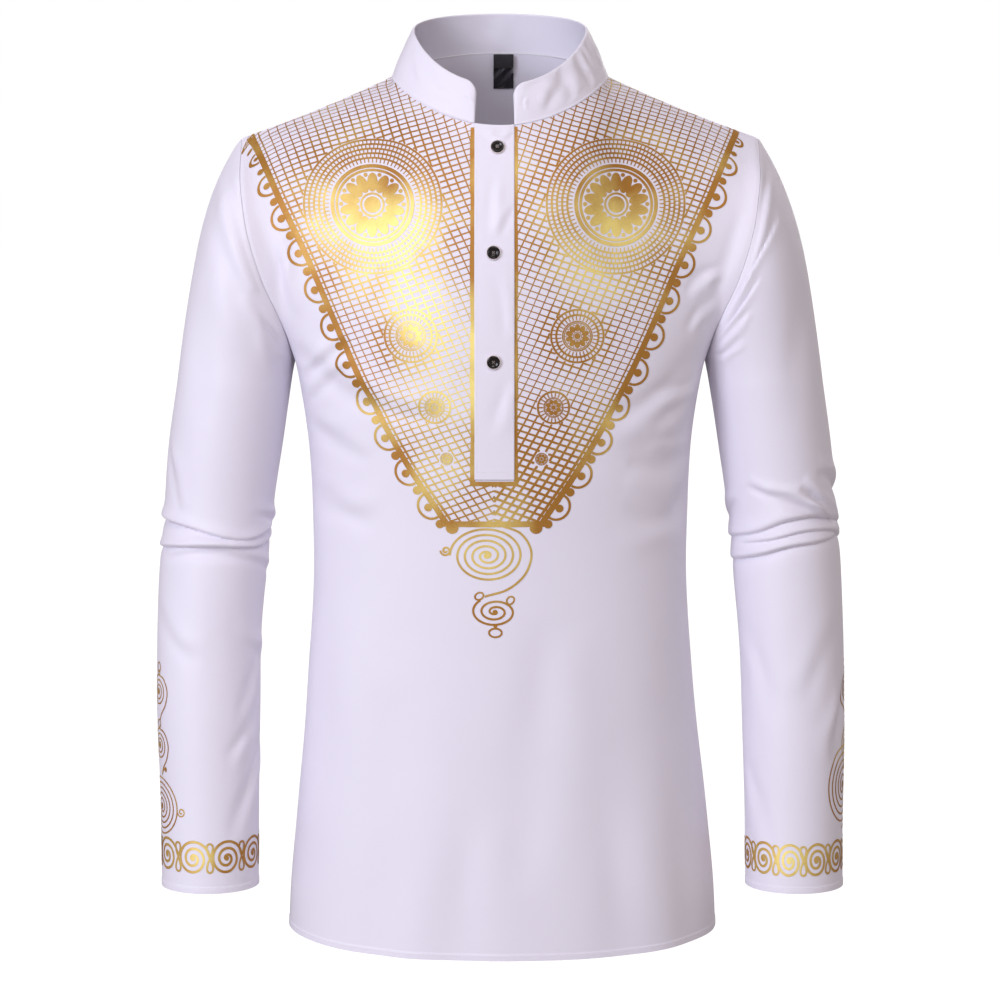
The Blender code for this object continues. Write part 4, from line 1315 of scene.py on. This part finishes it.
def inside_runs(path, margin):
    """The stretches of a path with a positive margin, ended exactly where it is zero."""
    runs, run = [], []
    for k in range(len(path)):
        if margin[k] > 0:
            if not run and k:
                part = margin[k] / (margin[k] - margin[k - 1])
                run.append(path[k] + part * (path[k - 1] - path[k]))
            run.append(path[k])
        elif run:
            part = margin[k - 1] / (margin[k - 1] - margin[k])
            run.append(path[k - 1] + part * (path[k] - path[k - 1]))
            runs.append(np.array(run))
            run = []
    if len(run) > 1:
        runs.append(np.array(run))
    return runs


def boldness(path):
    """Width of the net's lines, which grows towards the large rosettes and the lower end."""
    near = np.zeros(len(path))
    for rosette in ROSETTES[:2]:
        gap = np.hypot(np.abs(path[:, 0] - YOKE_MIDDLE) - rosette.x, path[:, 1] - rosette.up)
        gap = np.maximum(gap - mask_radius(rosette), 0.0)
        near = np.maximum(near, np.exp(-(gap / (0.8 * rosette.radius)) ** 2))
    low = smooth_step(-path[:, 1], *NET_LOW)
    near = near + low * np.where(path[:, 0] > YOKE_MIDDLE, NET_LOW_BOLD[1], NET_LOW_BOLD[-1])
    return NET_LINE + (NET_BOLD - NET_LINE) * near


def brick_net(gold, side):
    """Lines that run with a slanting edge, and staggered courses between them."""
    lines = int(max(e.half_width for e in YOKE_EDGE) / NET_PITCH)
    ups = np.arange(YOKE_FOOT.up, NET_TOP, LINE_STEP)
    for line in range(lines + 1):
        reach = yoke_edge_x(ups) - NET_PITCH * (line + 1)
        path = stacked(YOKE_MIDDLE + side * reach, ups)[reach > 0]
        if len(path) > 1:
            for run in inside_runs(path, yoke_margin(path)):
                gold.strip(run, boldness(run), 0)
        starts = np.arange(YOKE_FOOT.up - NET_COURSE * (1 + 0.5 * (line % 2)), NET_TOP, NET_COURSE)
        part = np.linspace(0.0, 1.0, 5)
        rise = starts[:, None] + NET_RISE * NET_PITCH * part
        reach = yoke_edge_x(rise) - NET_PITCH * (line + part)
        courses = stacked(YOKE_MIDDLE + side * np.maximum(reach, 0.0), rise)
        margins = yoke_margin(courses.reshape(-1, 2)).reshape(rise.shape)
        for course, margin, inner in zip(courses, margins, reach):
            if inner[0] > 0:
                for run in inside_runs(course, margin):
                    gold.strip(run, boldness(run), 1)


# A rosette's parts, in shares of its radius
RosetteRing = namedtuple("RosetteRing", "radius width")
ROSETTE_RINGS = (RosetteRing(0.955, 0.09), RosetteRing(0.850, 0.065), RosetteRing(0.27, 0.05))
HEART = 0.20
PETAL_PLACE = 0.55
PETAL_HALF_LENGTH = 0.235
PETAL_FILL = 0.93 * 0.60
BEAD_PLACE = 0.745
BEAD = 0.050


def arc_steps(radius):
    return max(16, int(TURN * radius / LINE_STEP))


def rosette_print(gold, rosette, side):
    """A filled flower in a ring, with fine rings and rays round the larger ones."""
    centre = np.array([YOKE_MIDDLE + side * rosette.x, rosette.up])
    r = rosette.radius
    gold.disc(centre, HEART * r, HEART * r, 2)
    for radius, width in ROSETTE_RINGS:
        gold.strip(oval(centre, radius * r, radius * r, arc_steps(radius * r)), width * r, 2)
    for petal in range(rosette.petals):
        angle = TURN * (petal + 0.5) / rosette.petals
        half = PETAL_FILL * math.pi * r / rosette.petals
        gold.disc(centre + heading(angle) * PETAL_PLACE * r, PETAL_HALF_LENGTH * r, half, 2,
                  turn=angle)
        between = heading(angle + math.pi / rosette.petals)
        gold.disc(centre + between * BEAD_PLACE * r, BEAD * r, BEAD * r, 3, steps=12)
    for ring in range(rosette.rings):
        radius = FIRST_RING * r + RING_STEP * (ring + 1)
        gold.strip(oval(centre, radius, radius, arc_steps(radius)), RING_LINE, 2)
        rays = int(TURN * radius / RAY_PITCH)
        for ray in range(rays):
            angle = TURN * (ray + 0.5 * (ring % 2)) / rays
            ends = np.array([radius - RING_STEP, radius - RING_STEP / 2, radius])
            gold.strip(centre + ends[:, None] * heading(angle), RAY_LINE, 3)


LOOPS = 12
LOOP_RADIUS = 0.0104
FIRST_LOOPS = {-1: (0.36, 0.56, 0.86), 1: (0.50, 0.84, 1.0)}
LOOP_START = 0.46
LOOP_HALF_TURN = 1.6
LOOP_STRETCH = 1.08
LOOP_LINE = 0.0021
LOOP_LIFT = 0.0004
DOT = 0.0034
DOT_LIFT = 0.0028
BUMP = 0.0037
BUMP_LIFT = 0.0024
LEAST_RUN = 0.003


def yoke_edge_path(side, offset=0.0):
    """The slanting edge from the shoulder down to the foot, moved out by an offset."""
    ups = np.linspace(YOKE_EDGE[-1].up, YOKE_FOOT.up, 160)
    path = stacked(YOKE_MIDDLE + side * yoke_edge_x(ups), ups)
    out = left_of(unit(np.gradient(path, axis=0))) * side
    return path + out * offset, out


def clipped_strip(gold, path, width, layer):
    for run in inside_runs(path, on_front.margin(path)):
        if len(run) > 1 and run_length(run)[-1] > LEAST_RUN:
            gold.strip(run, width, layer)


def loop_edging(gold, side):
    """Loops with a dot in each and a small bump between, along a slanting edge."""
    path, out = yoke_edge_path(side)
    keep = on_front.margin(path) > 0
    path, out = path[keep], out[keep]
    length = run_length(path)
    pitch = length[-1] / LOOPS
    for number in range(LOOPS):
        middle = pitch * (number + LOOP_START)
        place = at_lengths(path, length, np.array([middle]))[0]
        away = at_lengths(out, length, np.array([middle]))[0]
        tilt = math.atan2(away[1], away[0])
        share = FIRST_LOOPS[side][number] if number < 3 else 1.0
        size = LOOP_RADIUS * share
        loop = oval(place + away * LOOP_LIFT, size, size * LOOP_STRETCH, 26, -LOOP_HALF_TURN,
                    LOOP_HALF_TURN, tilt)
        clipped_strip(gold, loop, LOOP_LINE, 4)
        bumps = ((middle, DOT_LIFT * share, DOT * share),
                 (middle + pitch / 2, BUMP_LIFT, BUMP * math.sqrt(share)))
        for at, lift, size in bumps:
            spot = (at_lengths(path, length, np.array([at]))[0]
                    + at_lengths(out, length, np.array([at]))[0] * lift)
            if on_front.margin(spot[None])[0] > size:
                gold.disc(spot, size, size, 5, steps=18)


PLACKET_FOIL = {-1: 0.0038, 1: 0.0030}
PLACKET_TUCK = 0.0003
# Each unevenness of the placket's foil: its share of the width, and radians a metre
FOIL_WAVE = (0.16, 70.0)
FOIL_RIPPLE = (0.08, 190.0)
FOIL_STEP = 0.003
OUTER_LINE = 0.0010
OUTER_LINE_GAP = 0.0026
FOOT_CORNER = 0.0355


def yoke_print():
    gold = Print()
    for side in (-1, 1):
        brick_net(gold, side)
        for rosette in ROSETTES:
            rosette_print(gold, rosette, side)
        for offset, width in ((YOKE_BAND / 2, YOKE_BAND),
                              (YOKE_BAND + OUTER_LINE_GAP, OUTER_LINE)):
            clipped_strip(gold, yoke_edge_path(side, -offset)[0], width, 2)
        loop_edging(gold, side)
        foil = PLACKET_FOIL[side]
        x = (PLACKET_LEFT_X if side < 0 else PLACKET_RIGHT_X) + side * (foil / 2 - PLACKET_TUCK)
        ups = np.arange(PLACKET_LOW - 0.0022, float(on_front.top(x)) - 0.0006, FOIL_STEP)
        uneven = (1 + FOIL_WAVE[0] * np.sin(FOIL_WAVE[1] * ups)
                  + FOIL_RIPPLE[0] * np.sin(FOIL_RIPPLE[1] * ups + side))
        gold.strip(stacked(np.full(len(ups), x), ups), foil * uneven, 3)
        gold.disc((YOKE_MIDDLE + side * FOOT_CORNER, YOKE_FOOT.up - 0.0035), 0.0054, 0.0050, 4)
    xs = np.linspace(YOKE_MIDDLE - YOKE_FOOT.half_width, YOKE_MIDDLE + YOKE_FOOT.half_width, 48)
    gold.strip(stacked(xs, np.full(48, YOKE_FOOT.up)), YOKE_BAND, 3)
    xs = np.linspace(PLACKET_LEFT_X - PLACKET_FOIL[-1], PLACKET_RIGHT_X + PLACKET_FOIL[1], 20)
    gold.strip(stacked(xs, np.full(20, PLACKET_LOW - 0.0004)), PLACKET_FOIL[-1], 4)
    pendant(gold)
    return gold.lay("print_front", on_front)


PENDANT = (-0.0110, -0.4020)
SMALL_COIL = (-0.0042, -0.4500)
PENDANT_LINE = 0.0019
PENDANT_ARM = ((0.0020, -0.3765), (0.0175, -0.3830), (0.0265, -0.3990), (0.0225, -0.4160),
               (0.0080, -0.4300), (-0.0130, -0.4370))
# Small rings beside and below the small coil
PendantRing = namedtuple("PendantRing", "centre half_width half_height steps turn line layer")
PENDANT_RINGS = (
    PendantRing((-0.0176, -0.4366), 0.0038, 0.0029, 24, 0.5, 0.0015, 4),
    PendantRing((0.0088, -0.4402), 0.0036, 0.0029, 24, 0.9, 0.0015, 4),
    PendantRing((-0.0040, -0.4680), 0.0054, 0.0037, 28, 0.0, 0.0017, 3),
)


def pendant(gold):
    """A large coil hung from the field by two arms, a small one below it, and a ring."""
    coil = spiral(PENDANT, 0.0012, 0.0315, 4.75, -0.5 * math.pi, hand=1.0, squash=0.76)
    keep = coil[:, 1] < YOKE_FOOT.up - 0.0010
    last = int(np.flatnonzero(keep)[-1])
    gold.strip(coil[:last + 1], PENDANT_LINE, 2)
    gold.disc(PENDANT, 0.0030, 0.0026, 3, steps=14)
    gold.strip(smooth_path(PENDANT_ARM, 60), PENDANT_LINE, 3)
    coil = spiral(SMALL_COIL, 0.0010, 0.0195, 2.64, 0.0, hand=-1.0, squash=0.66)
    gold.strip(coil, PENDANT_LINE, 2)
    gold.disc(SMALL_COIL, 0.0022, 0.0018, 3, steps=12)
    gold.disc((-0.0040, -0.4622), 0.0017, 0.0015, 4, steps=12)
    for ring in PENDANT_RINGS:
        path = oval(ring.centre, ring.half_width, ring.half_height, ring.steps, turn=ring.turn)
        gold.strip(path, ring.line, ring.layer)
    curl = (PENDANT[0] - 0.0350, PENDANT[1] + 0.0040)
    gold.strip(spiral(curl, 0.0008, 0.0045, 1.5, 0.0, hand=-1.0), 0.0017, 3)


# Printed sleeves: a column of coils on the outer side and a band of coils round the cuff

COIL_TALL = 0.0158
LINK_HALF_WIDTH = 0.0028
LINK_HALF_HEIGHT = 0.0124
SleevePrint = namedtuple("SleevePrint", "hand coils band_degrees band_z small_degrees "
                                        "big_degrees big_z big_half_width big_half_height curl")
SLEEVE_PRINTS = {
    "right": SleevePrint(1.0, 9, 34.0, -0.6710, 22.0, 21.0, -0.6310, 0.0290, 0.0275, True),
    "left": SleevePrint(-1.0, 11, 2.3, -0.6735, 2.0, 18.5, -0.6130, 0.0290, 0.0370, False),
}
BAND_LINE = 0.0023
LINK_LINE = 0.0018
BIG_COIL_LINE = 0.0014
COLUMN_LINE = 0.0013
COLUMN_COILS = (-0.5770, -0.5305)
COLUMN_ARM = ((0.0000, 0.0136), (0.0095, 0.0118), (0.0158, 0.0020), (0.0132, -0.0110),
              (0.0050, -0.0215), (0.0028, -0.0262))
ColumnRing = namedtuple("ColumnRing", "z radius")
COLUMN_RINGS = (ColumnRing(-0.5590, 0.0030), ColumnRing(-0.5150, 0.0018),
                ColumnRing(-0.5100, 0.0036))
COLUMN_HOOK = ((0.0028, -0.6030), (0.0060, -0.5985), (0.0102, -0.5965))
CURL_REACH = 0.88
COIL_TURNS = 2.6


def round_sleeve(degrees):
    return math.radians(degrees) * SLEEVE_PRINT_RADIUS


def figure_eight(centre, half_width, half_height, steps=44):
    turn = np.linspace(0.0, TURN, steps)
    return stacked(centre[0] + half_width * np.sin(2 * turn),
                   centre[1] + half_height * np.cos(turn))


def cuff_band(gold, plan):
    """Coils side by side round the cuff, each tied to the next by a crossed loop."""
    pitch = TURN * SLEEVE_PRINT_RADIUS / plan.coils
    half = 0.50 * pitch
    end = 0.0 if plan.hand > 0 else math.pi
    for number in range(plan.coils):
        x = pitch * number + round_sleeve(plan.band_degrees)
        coil = spiral((x, plan.band_z), 0.0010, half, COIL_TURNS,
                      end + plan.hand * TURN * COIL_TURNS, hand=-plan.hand,
                      squash=COIL_TALL / half)
        gold.strip(coil, BAND_LINE, 2)
        gold.disc((x, plan.band_z), 0.0021, 0.0021, 3, steps=12)
        gold.strip(figure_eight((x + pitch / 2, plan.band_z + 0.0006), LINK_HALF_WIDTH,
                                LINK_HALF_HEIGHT), LINK_LINE, 4)


def column_coil(gold, x, z, hand):
    """A coil whose outer arm runs down its front side, below the coil above."""
    coil = spiral((x, z), 0.0010, 0.0138, 3.0, math.pi / 2, hand=-hand, squash=0.98)
    gold.strip(coil, COLUMN_LINE, 2)
    gold.disc((x, z), 0.0022, 0.0024, 3, steps=14)
    gold.strip(smooth_path([(x + hand * right, z + up) for right, up in COLUMN_ARM], 40),
               COLUMN_LINE, 3)


def sleeve_print(name):
    plan = SLEEVE_PRINTS[name]
    gold = Print()
    cuff_band(gold, plan)
    big = round_sleeve(plan.big_degrees)
    small = round_sleeve(plan.small_degrees)
    tall = plan.big_half_height / plan.big_half_width
    # Both columns face the front: their arms and curls are on that side
    coil = spiral((big, plan.big_z), 0.0012, plan.big_half_width, 5.75, 0.0, hand=1.0,
                  squash=tall)
    gold.strip(coil, BIG_COIL_LINE, 2)
    gold.disc((big, plan.big_z), 0.0022, 0.0026, 3, steps=14)
    if plan.curl:
        curl = (big + CURL_REACH * plan.big_half_width + 0.0046, plan.big_z - 0.0010)
        gold.strip(spiral(curl, 0.0009, 0.0044, 1.4, 1.8 * math.pi, hand=-1.0), 0.0012, 3)
    for z in COLUMN_COILS:
        column_coil(gold, small, z, 1.0)
    for z, size in COLUMN_RINGS:
        gold.strip(oval((small + 0.0008, z), size, size * 1.15, 24), COLUMN_LINE, 3)
    hook = [(small + right, z) for right, z in COLUMN_HOOK]
    gold.strip(smooth_path(hook, 10), 0.0015, 3)
    gold.disc((hook[-1][0], -0.5975), 0.0021, 0.0023, 4, steps=12)
    return gold.lay(f"print_sleeve_{name}", on_sleeve[name])


print_front = yoke_print()
sleeve_prints = {name: sleeve_print(name) for name in SLEEVE_PRINTS}


# Stitches

STITCH_PITCH = 0.0028
STITCH_LENGTH = 0.0022
STITCH_HALF = 0.00021
STITCH_START = 0.0005
COLLAR_STITCH_LIFT = 0.0001
CROSS_STITCH_ROWS = (5, 14)


def stitch_points(path, normals):
    """Spindle-shaped stitches along a path on the cloth."""
    length = run_length(path)
    starts = np.arange(STITCH_START, length[-1] - STITCH_LENGTH, STITCH_PITCH)
    points, faces = [], []
    for start in starts:
        ends = at_lengths(path, length, np.array([start, start + STITCH_LENGTH]))
        out = at_lengths(normals, length, np.array([start + STITCH_LENGTH / 2]))[0]
        out /= np.linalg.norm(out)
        way = ends[1] - ends[0]
        side = np.cross(way, out)
        side *= STITCH_HALF / np.linalg.norm(side)
        middle = ends.mean(axis=0)
        base = len(points)
        points += [ends[0], middle + side, middle + out * STITCH_HALF, middle - side,
                   middle - out * STITCH_HALF, ends[1]]
        for k in range(4):
            a, b = base + 1 + k, base + 1 + (k + 1) % 4
            faces += [(base, a, b), (base + 5, b, a)]
    return points, faces


def stitch_object(name, lines):
    points, faces = [], []
    for path, normals in lines:
        more, their_faces = stitch_points(path, normals)
        faces += [tuple(len(points) + k for k in face) for face in their_faces]
        points += more
    return mesh_object(name, points, faces, thread_white)


def hem_line(cloth, closed):
    """The stitch line above a hem or cuff, which are the cloth's first or last rows."""
    row = 4 if not closed else -5
    line = np.array(cloth.outer[row])
    out = np.array(cloth.normals[row])
    if closed:
        line = np.concatenate([line, line[:1]])
        out = np.concatenate([out, out[:1]])
    return line, out


def placket_lines():
    lines = []
    for x in (PLACKET_LEFT_X + PLACKET_INSET, PLACKET_RIGHT_X - PLACKET_INSET):
        path = np.array([point_at(row, x) for row in placket_outer[4:]])
        lines.append((path, placket_normals[4:, 8]))
    for row in CROSS_STITCH_ROWS:
        lines.append((placket_outer[row, 3:-3], placket_normals[row, 3:-3]))
    return lines


def collar_lines():
    keep = slice(8, -8)
    out = collar_away[keep]
    return [(collar_outer[2, keep] + out * COLLAR_STITCH_LIFT, out),
            (collar_inner[1, keep] - out * COLLAR_STITCH_LIFT, -out)]


stitches = stitch_object("stitches", [hem_line(front, False), hem_line(back, False),
                                      hem_line(sleeves["left"], True),
                                      hem_line(sleeves["right"], True),
                                      *placket_lines(), *collar_lines()])


# Buttons

Ring = namedtuple("Ring", "radius height")
RIM_PROFILE = (Ring(0.0050, 0.0), Ring(0.0058, 0.0003), Ring(0.0062, 0.0009),
               Ring(0.0062, 0.0014), Ring(0.0060, 0.0019), Ring(0.0057, 0.0021),
               Ring(0.0055, 0.0019), Ring(0.0054, 0.0015), Ring(0.0052, 0.0010))
FACE_PROFILE = (Ring(0.0053, 0.0012), Ring(0.0053, 0.0017), Ring(0.0051, 0.0023),
                Ring(0.0046, 0.0026), Ring(0.0037, 0.0025), Ring(0.0031, 0.0019),
                Ring(0.0016, 0.0017), Ring(0.0004, 0.0017))
BUTTON_STEPS = 40
HOLE_RADIUS = 0.00052
HOLE_PLACE = 0.00105
HOLE_STEPS = 12
HOLE_EDGE_HEIGHT = 0.00176
HOLE_MIDDLE_HEIGHT = 0.00192
THREAD_HALF = 0.00022
THREAD_HEIGHT = 0.0018
THREAD_LAYER = 0.0001
ThreadSection = namedtuple("ThreadSection", "along lift")
THREAD_SECTIONS = (ThreadSection(-1.15, 0.0), ThreadSection(-0.6, 0.00035),
                   ThreadSection(0.6, 0.00035), ThreadSection(1.15, 0.0))
THREAD_PROFILE = ((-1, 0.0), (0, 0.00012), (1, 0.0))


def turned(profile, closed):
    """Points and faces of a turned form; a closed profile joins its end to its start."""
    points = [(ring.radius * math.cos(a), ring.radius * math.sin(a), ring.height)
              for ring in profile
              for a in np.linspace(0.0, TURN, BUTTON_STEPS, endpoint=False)]
    faces = []
    for low in range(len(profile) if closed else len(profile) - 1):
        high = (low + 1) % len(profile)
        for step in range(BUTTON_STEPS):
            beside = (step + 1) % BUTTON_STEPS
            faces.append((low * BUTTON_STEPS + step, low * BUTTON_STEPS + beside,
                          high * BUTTON_STEPS + beside, high * BUTTON_STEPS + step))
    if not closed:
        faces.append(tuple(reversed(range(BUTTON_STEPS))))
        last = (len(profile) - 1) * BUTTON_STEPS
        faces.append(tuple(range(last, last + BUTTON_STEPS)))
    return points, faces


def sewn_middle():
    """Points and faces of the four filled holes and the two threads crossed over them."""
    points, faces = [], []
    for k in range(4):
        centre = HOLE_PLACE * heading(math.pi / 4 + k * math.pi / 2)
        base = len(points)
        for step in range(HOLE_STEPS):
            spot = centre + HOLE_RADIUS * heading(TURN * step / HOLE_STEPS)
            points.append((*spot, HOLE_EDGE_HEIGHT))
        points.append((*centre, HOLE_MIDDLE_HEIGHT))
        faces += [(base + s, base + (s + 1) % HOLE_STEPS, base + HOLE_STEPS)
                  for s in range(HOLE_STEPS)]
    for k in range(2):
        way = heading(math.pi / 4 + k * math.pi / 2)
        side = np.array([-way[1], way[0]]) * THREAD_HALF
        base = len(points)
        for along, lift in THREAD_SECTIONS:
            for aside, more in THREAD_PROFILE:
                spot = way * HOLE_PLACE * along + side * aside
                points.append((*spot, THREAD_HEIGHT + lift + more + THREAD_LAYER * k))
        for i in range(3):
            for j in range(2):
                a = base + 3 * i + j
                faces.append((a, a + 1, a + 4, a + 3))
    return points, faces


def button(number, place):
    """A rim round a dark face with four holes, and thread crossed through them."""
    _, normal = on_front.find([place])
    row = int(np.abs(placket_uv[:, 8, 1] - place[1]).argmin())
    out = mathutils.Vector(normal[0])
    base = mathutils.Vector(point_at(placket_outer[row], place[0])) + out * SEAM_GAP
    turn = out.to_track_quat("Z", "Y")

    def put(name, points, faces, material):
        placed = [turn @ mathutils.Vector(p) + base for p in points]
        return mesh_object(f"{name}_{number}", placed, faces, material)

    rim = put("button_rim", *turned(RIM_PROFILE, True), steel_rim)
    face = put("button_face", *turned(FACE_PROFILE, False), dark_horn)
    for piece in (rim, face):
        face_out(piece, BUTTON_SHARP_DEGREES)
    put("button_thread", *sewn_middle(), button_thread)
    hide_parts(f"button_{number}")


for number, place in enumerate(BUTTON_PLACES, 1):
    button(number, place)


# Neck label and size tab

# Waves of a ribbon across its width and along its length, in radians a metre
BULGE_WAVE = 0.35
BULGE_TURN = 5
BULGE_ACROSS = 900
CRUMPLE_ACROSS = 620
CRUMPLE_ALONG = 560
TAB_LIFT = SEAM_GAP + LABEL_WALL + 0.0026


def label_piece(name, length, lift, bulge, crumple, material):
    """A folded ribbon that hangs inside the back from the neck seam."""
    near_middle = back.inner[FIRST_UPPER:, MIDDLE - 14:MIDDLE + 15]
    neck = back.inner[-1, ON_NECK]
    top = float(np.interp(LABEL_X, neck[:, 0], neck[:, 2])) - 2 * SEAM_GAP
    xs = LABEL_X + LABEL_HALF_WIDTH * np.linspace(-1.0, 1.0, 13)
    heights = np.linspace(top - length, top, 26)
    face = np.zeros((len(heights), len(xs), 3))
    for j, x in enumerate(xs):
        line = np.array([point_at(row, x) for row in near_middle])
        face[:, j, 0] = x
        face[:, j, 1] = np.interp(heights, line[:, 2], line[:, 1])
        face[:, j, 2] = heights
    slope = np.gradient(face[:, 6], axis=0)
    into = unit(stacked(0.0 * slope[:, 1], -slope[:, 2], slope[:, 1]))[:, None]
    part = np.linspace(1.0, 0.0, len(heights))[:, None]
    rise = np.sin(math.pi * part)
    wave = bulge * rise * (1 + BULGE_WAVE * np.sin(BULGE_ACROSS * (xs - LABEL_X)
                                                   + part * BULGE_TURN))
    slant = CRUMPLE_ACROSS * (xs - LABEL_X) - CRUMPLE_ALONG * (heights - top)[:, None]
    wave = wave + crumple * (rise ** 0.5 * (1 + np.sin(slant)))
    near = face + into * (lift + wave)[..., None]
    uv = stacked(np.broadcast_to(xs, wave.shape), np.broadcast_to(heights[:, None], wave.shape))
    piece = wall_object(name, near + into * LABEL_WALL, near, False, material, uv)
    return piece


label = label_piece("label_ribbon", LABEL_LENGTH, SEAM_GAP, 0.0004, 0.0011, black_satin)
tab = label_piece("size_ribbon", TAB_LENGTH, TAB_LIFT, 0.0002, 0.0, black_ribbon)
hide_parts("neck_label")
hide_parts("size_tab")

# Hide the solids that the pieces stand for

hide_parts("front")
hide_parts("back")
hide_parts("collar")
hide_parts("placket")
for name, piece in sleeve_pieces.items():
    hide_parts(f"sleeve_{name}")


# Floor, backdrop, lights and camera

FLOOR_Z = -1.45
VIEW_DISTANCE = 3.2
VIEW_DEGREES = 6.5
VIEW_CENTRE_Z = -0.3668
LENS = 131.66


def bright_material(name, diffuse):
    """A surface that shows as white, with a faint mottle in what light it returns."""
    material, tree, shader, node = new_material(name, diffuse, 0.9)
    place = node("ShaderNodeTexCoord")
    mottle = node("ShaderNodeTexNoise", {"Vector": place.outputs["Object"], "Scale": 0.6})
    tree.links.new(mixed_colour(node, mottle.outputs["Fac"], diffuse,
                                tuple(0.98 * c for c in diffuse)), shader.inputs["Base Color"])
    shader.inputs["Emission Color"].default_value = (1.0, 1.0, 1.0, 1.0)
    shader.inputs["Emission Strength"].default_value = 1.0
    return material


def stage_mesh(name, make, material):
    mesh = bpy.data.meshes.new(name)
    work = bmesh.new()
    make(work)
    work.to_mesh(mesh)
    work.free()
    mesh.materials.append(material)
    thing = add_object(name, mesh)
    return thing


floor = stage_mesh("floor", lambda work: bmesh.ops.create_circle(
    work, cap_ends=True, radius=28.0, segments=96),
    bright_material("pale_floor", (0.2, 0.2, 0.2)))
floor.location.z = FLOOR_Z
backdrop = stage_mesh("backdrop", lambda work: bmesh.ops.create_icosphere(
    work, subdivisions=4, radius=30.0),
    bright_material("white_backdrop", (0.0, 0.0, 0.0)))
for thing in (floor, backdrop):
    thing.visible_diffuse = False
    thing.visible_glossy = False
    thing.visible_shadow = False


Light = namedtuple("Light", "name place aim_z size power colour")
LIGHTS = (
    Light("key", (-2.3, -2.7, 0.7), -0.34, (1.4, 1.8), 82.0, (0.84, 0.86, 1.0)),
    Light("fill", (2.6, -2.4, 0.2), -0.35, (1.8, 2.0), 4.0, (1.0, 0.92, 0.92)),
    Light("above", (0.1, -2.5, 1.9), -0.20, (1.4, 1.2), 25.0, (1.0, 0.95, 0.94)),
    Light("behind", (0.6, 2.8, 1.2), -0.30, (3.0, 2.4), 34.0, (0.98, 0.96, 1.0)),
)
for light in LIGHTS:
    data = bpy.data.lights.new(light.name, "AREA")
    data.shape = "RECTANGLE"
    data.size, data.size_y = light.size
    data.energy = light.power
    data.color = light.colour
    lamp = add_object(light.name, data)
    lamp.location = light.place
    way = mathutils.Vector((0.0, 0.0, light.aim_z)) - mathutils.Vector(light.place)
    lamp.rotation_euler = way.to_track_quat("-Z", "Y").to_euler()

world = bpy.data.worlds.new("studio")
world.use_nodes = True
background = world.node_tree.nodes["Background"]
background.inputs["Color"].default_value = (1.0, 0.89, 0.88, 1.0)
background.inputs["Strength"].default_value = 0.40
bpy.context.scene.world = world
bpy.context.scene.view_settings.view_transform = "Standard"
bpy.context.scene.view_settings.look = "None"

camera_data = bpy.data.cameras.new("camera")
camera_data.sensor_width = 36.0
camera_data.lens = LENS
camera = add_object("camera", camera_data)
tilt = math.radians(VIEW_DEGREES)
camera.location = (0.0, -VIEW_DISTANCE * math.cos(tilt),
                   VIEW_CENTRE_Z + VIEW_DISTANCE * math.sin(tilt))
camera.rotation_euler = (math.pi / 2 - tilt, 0.0, 0.0)
bpy.context.scene.camera = camera
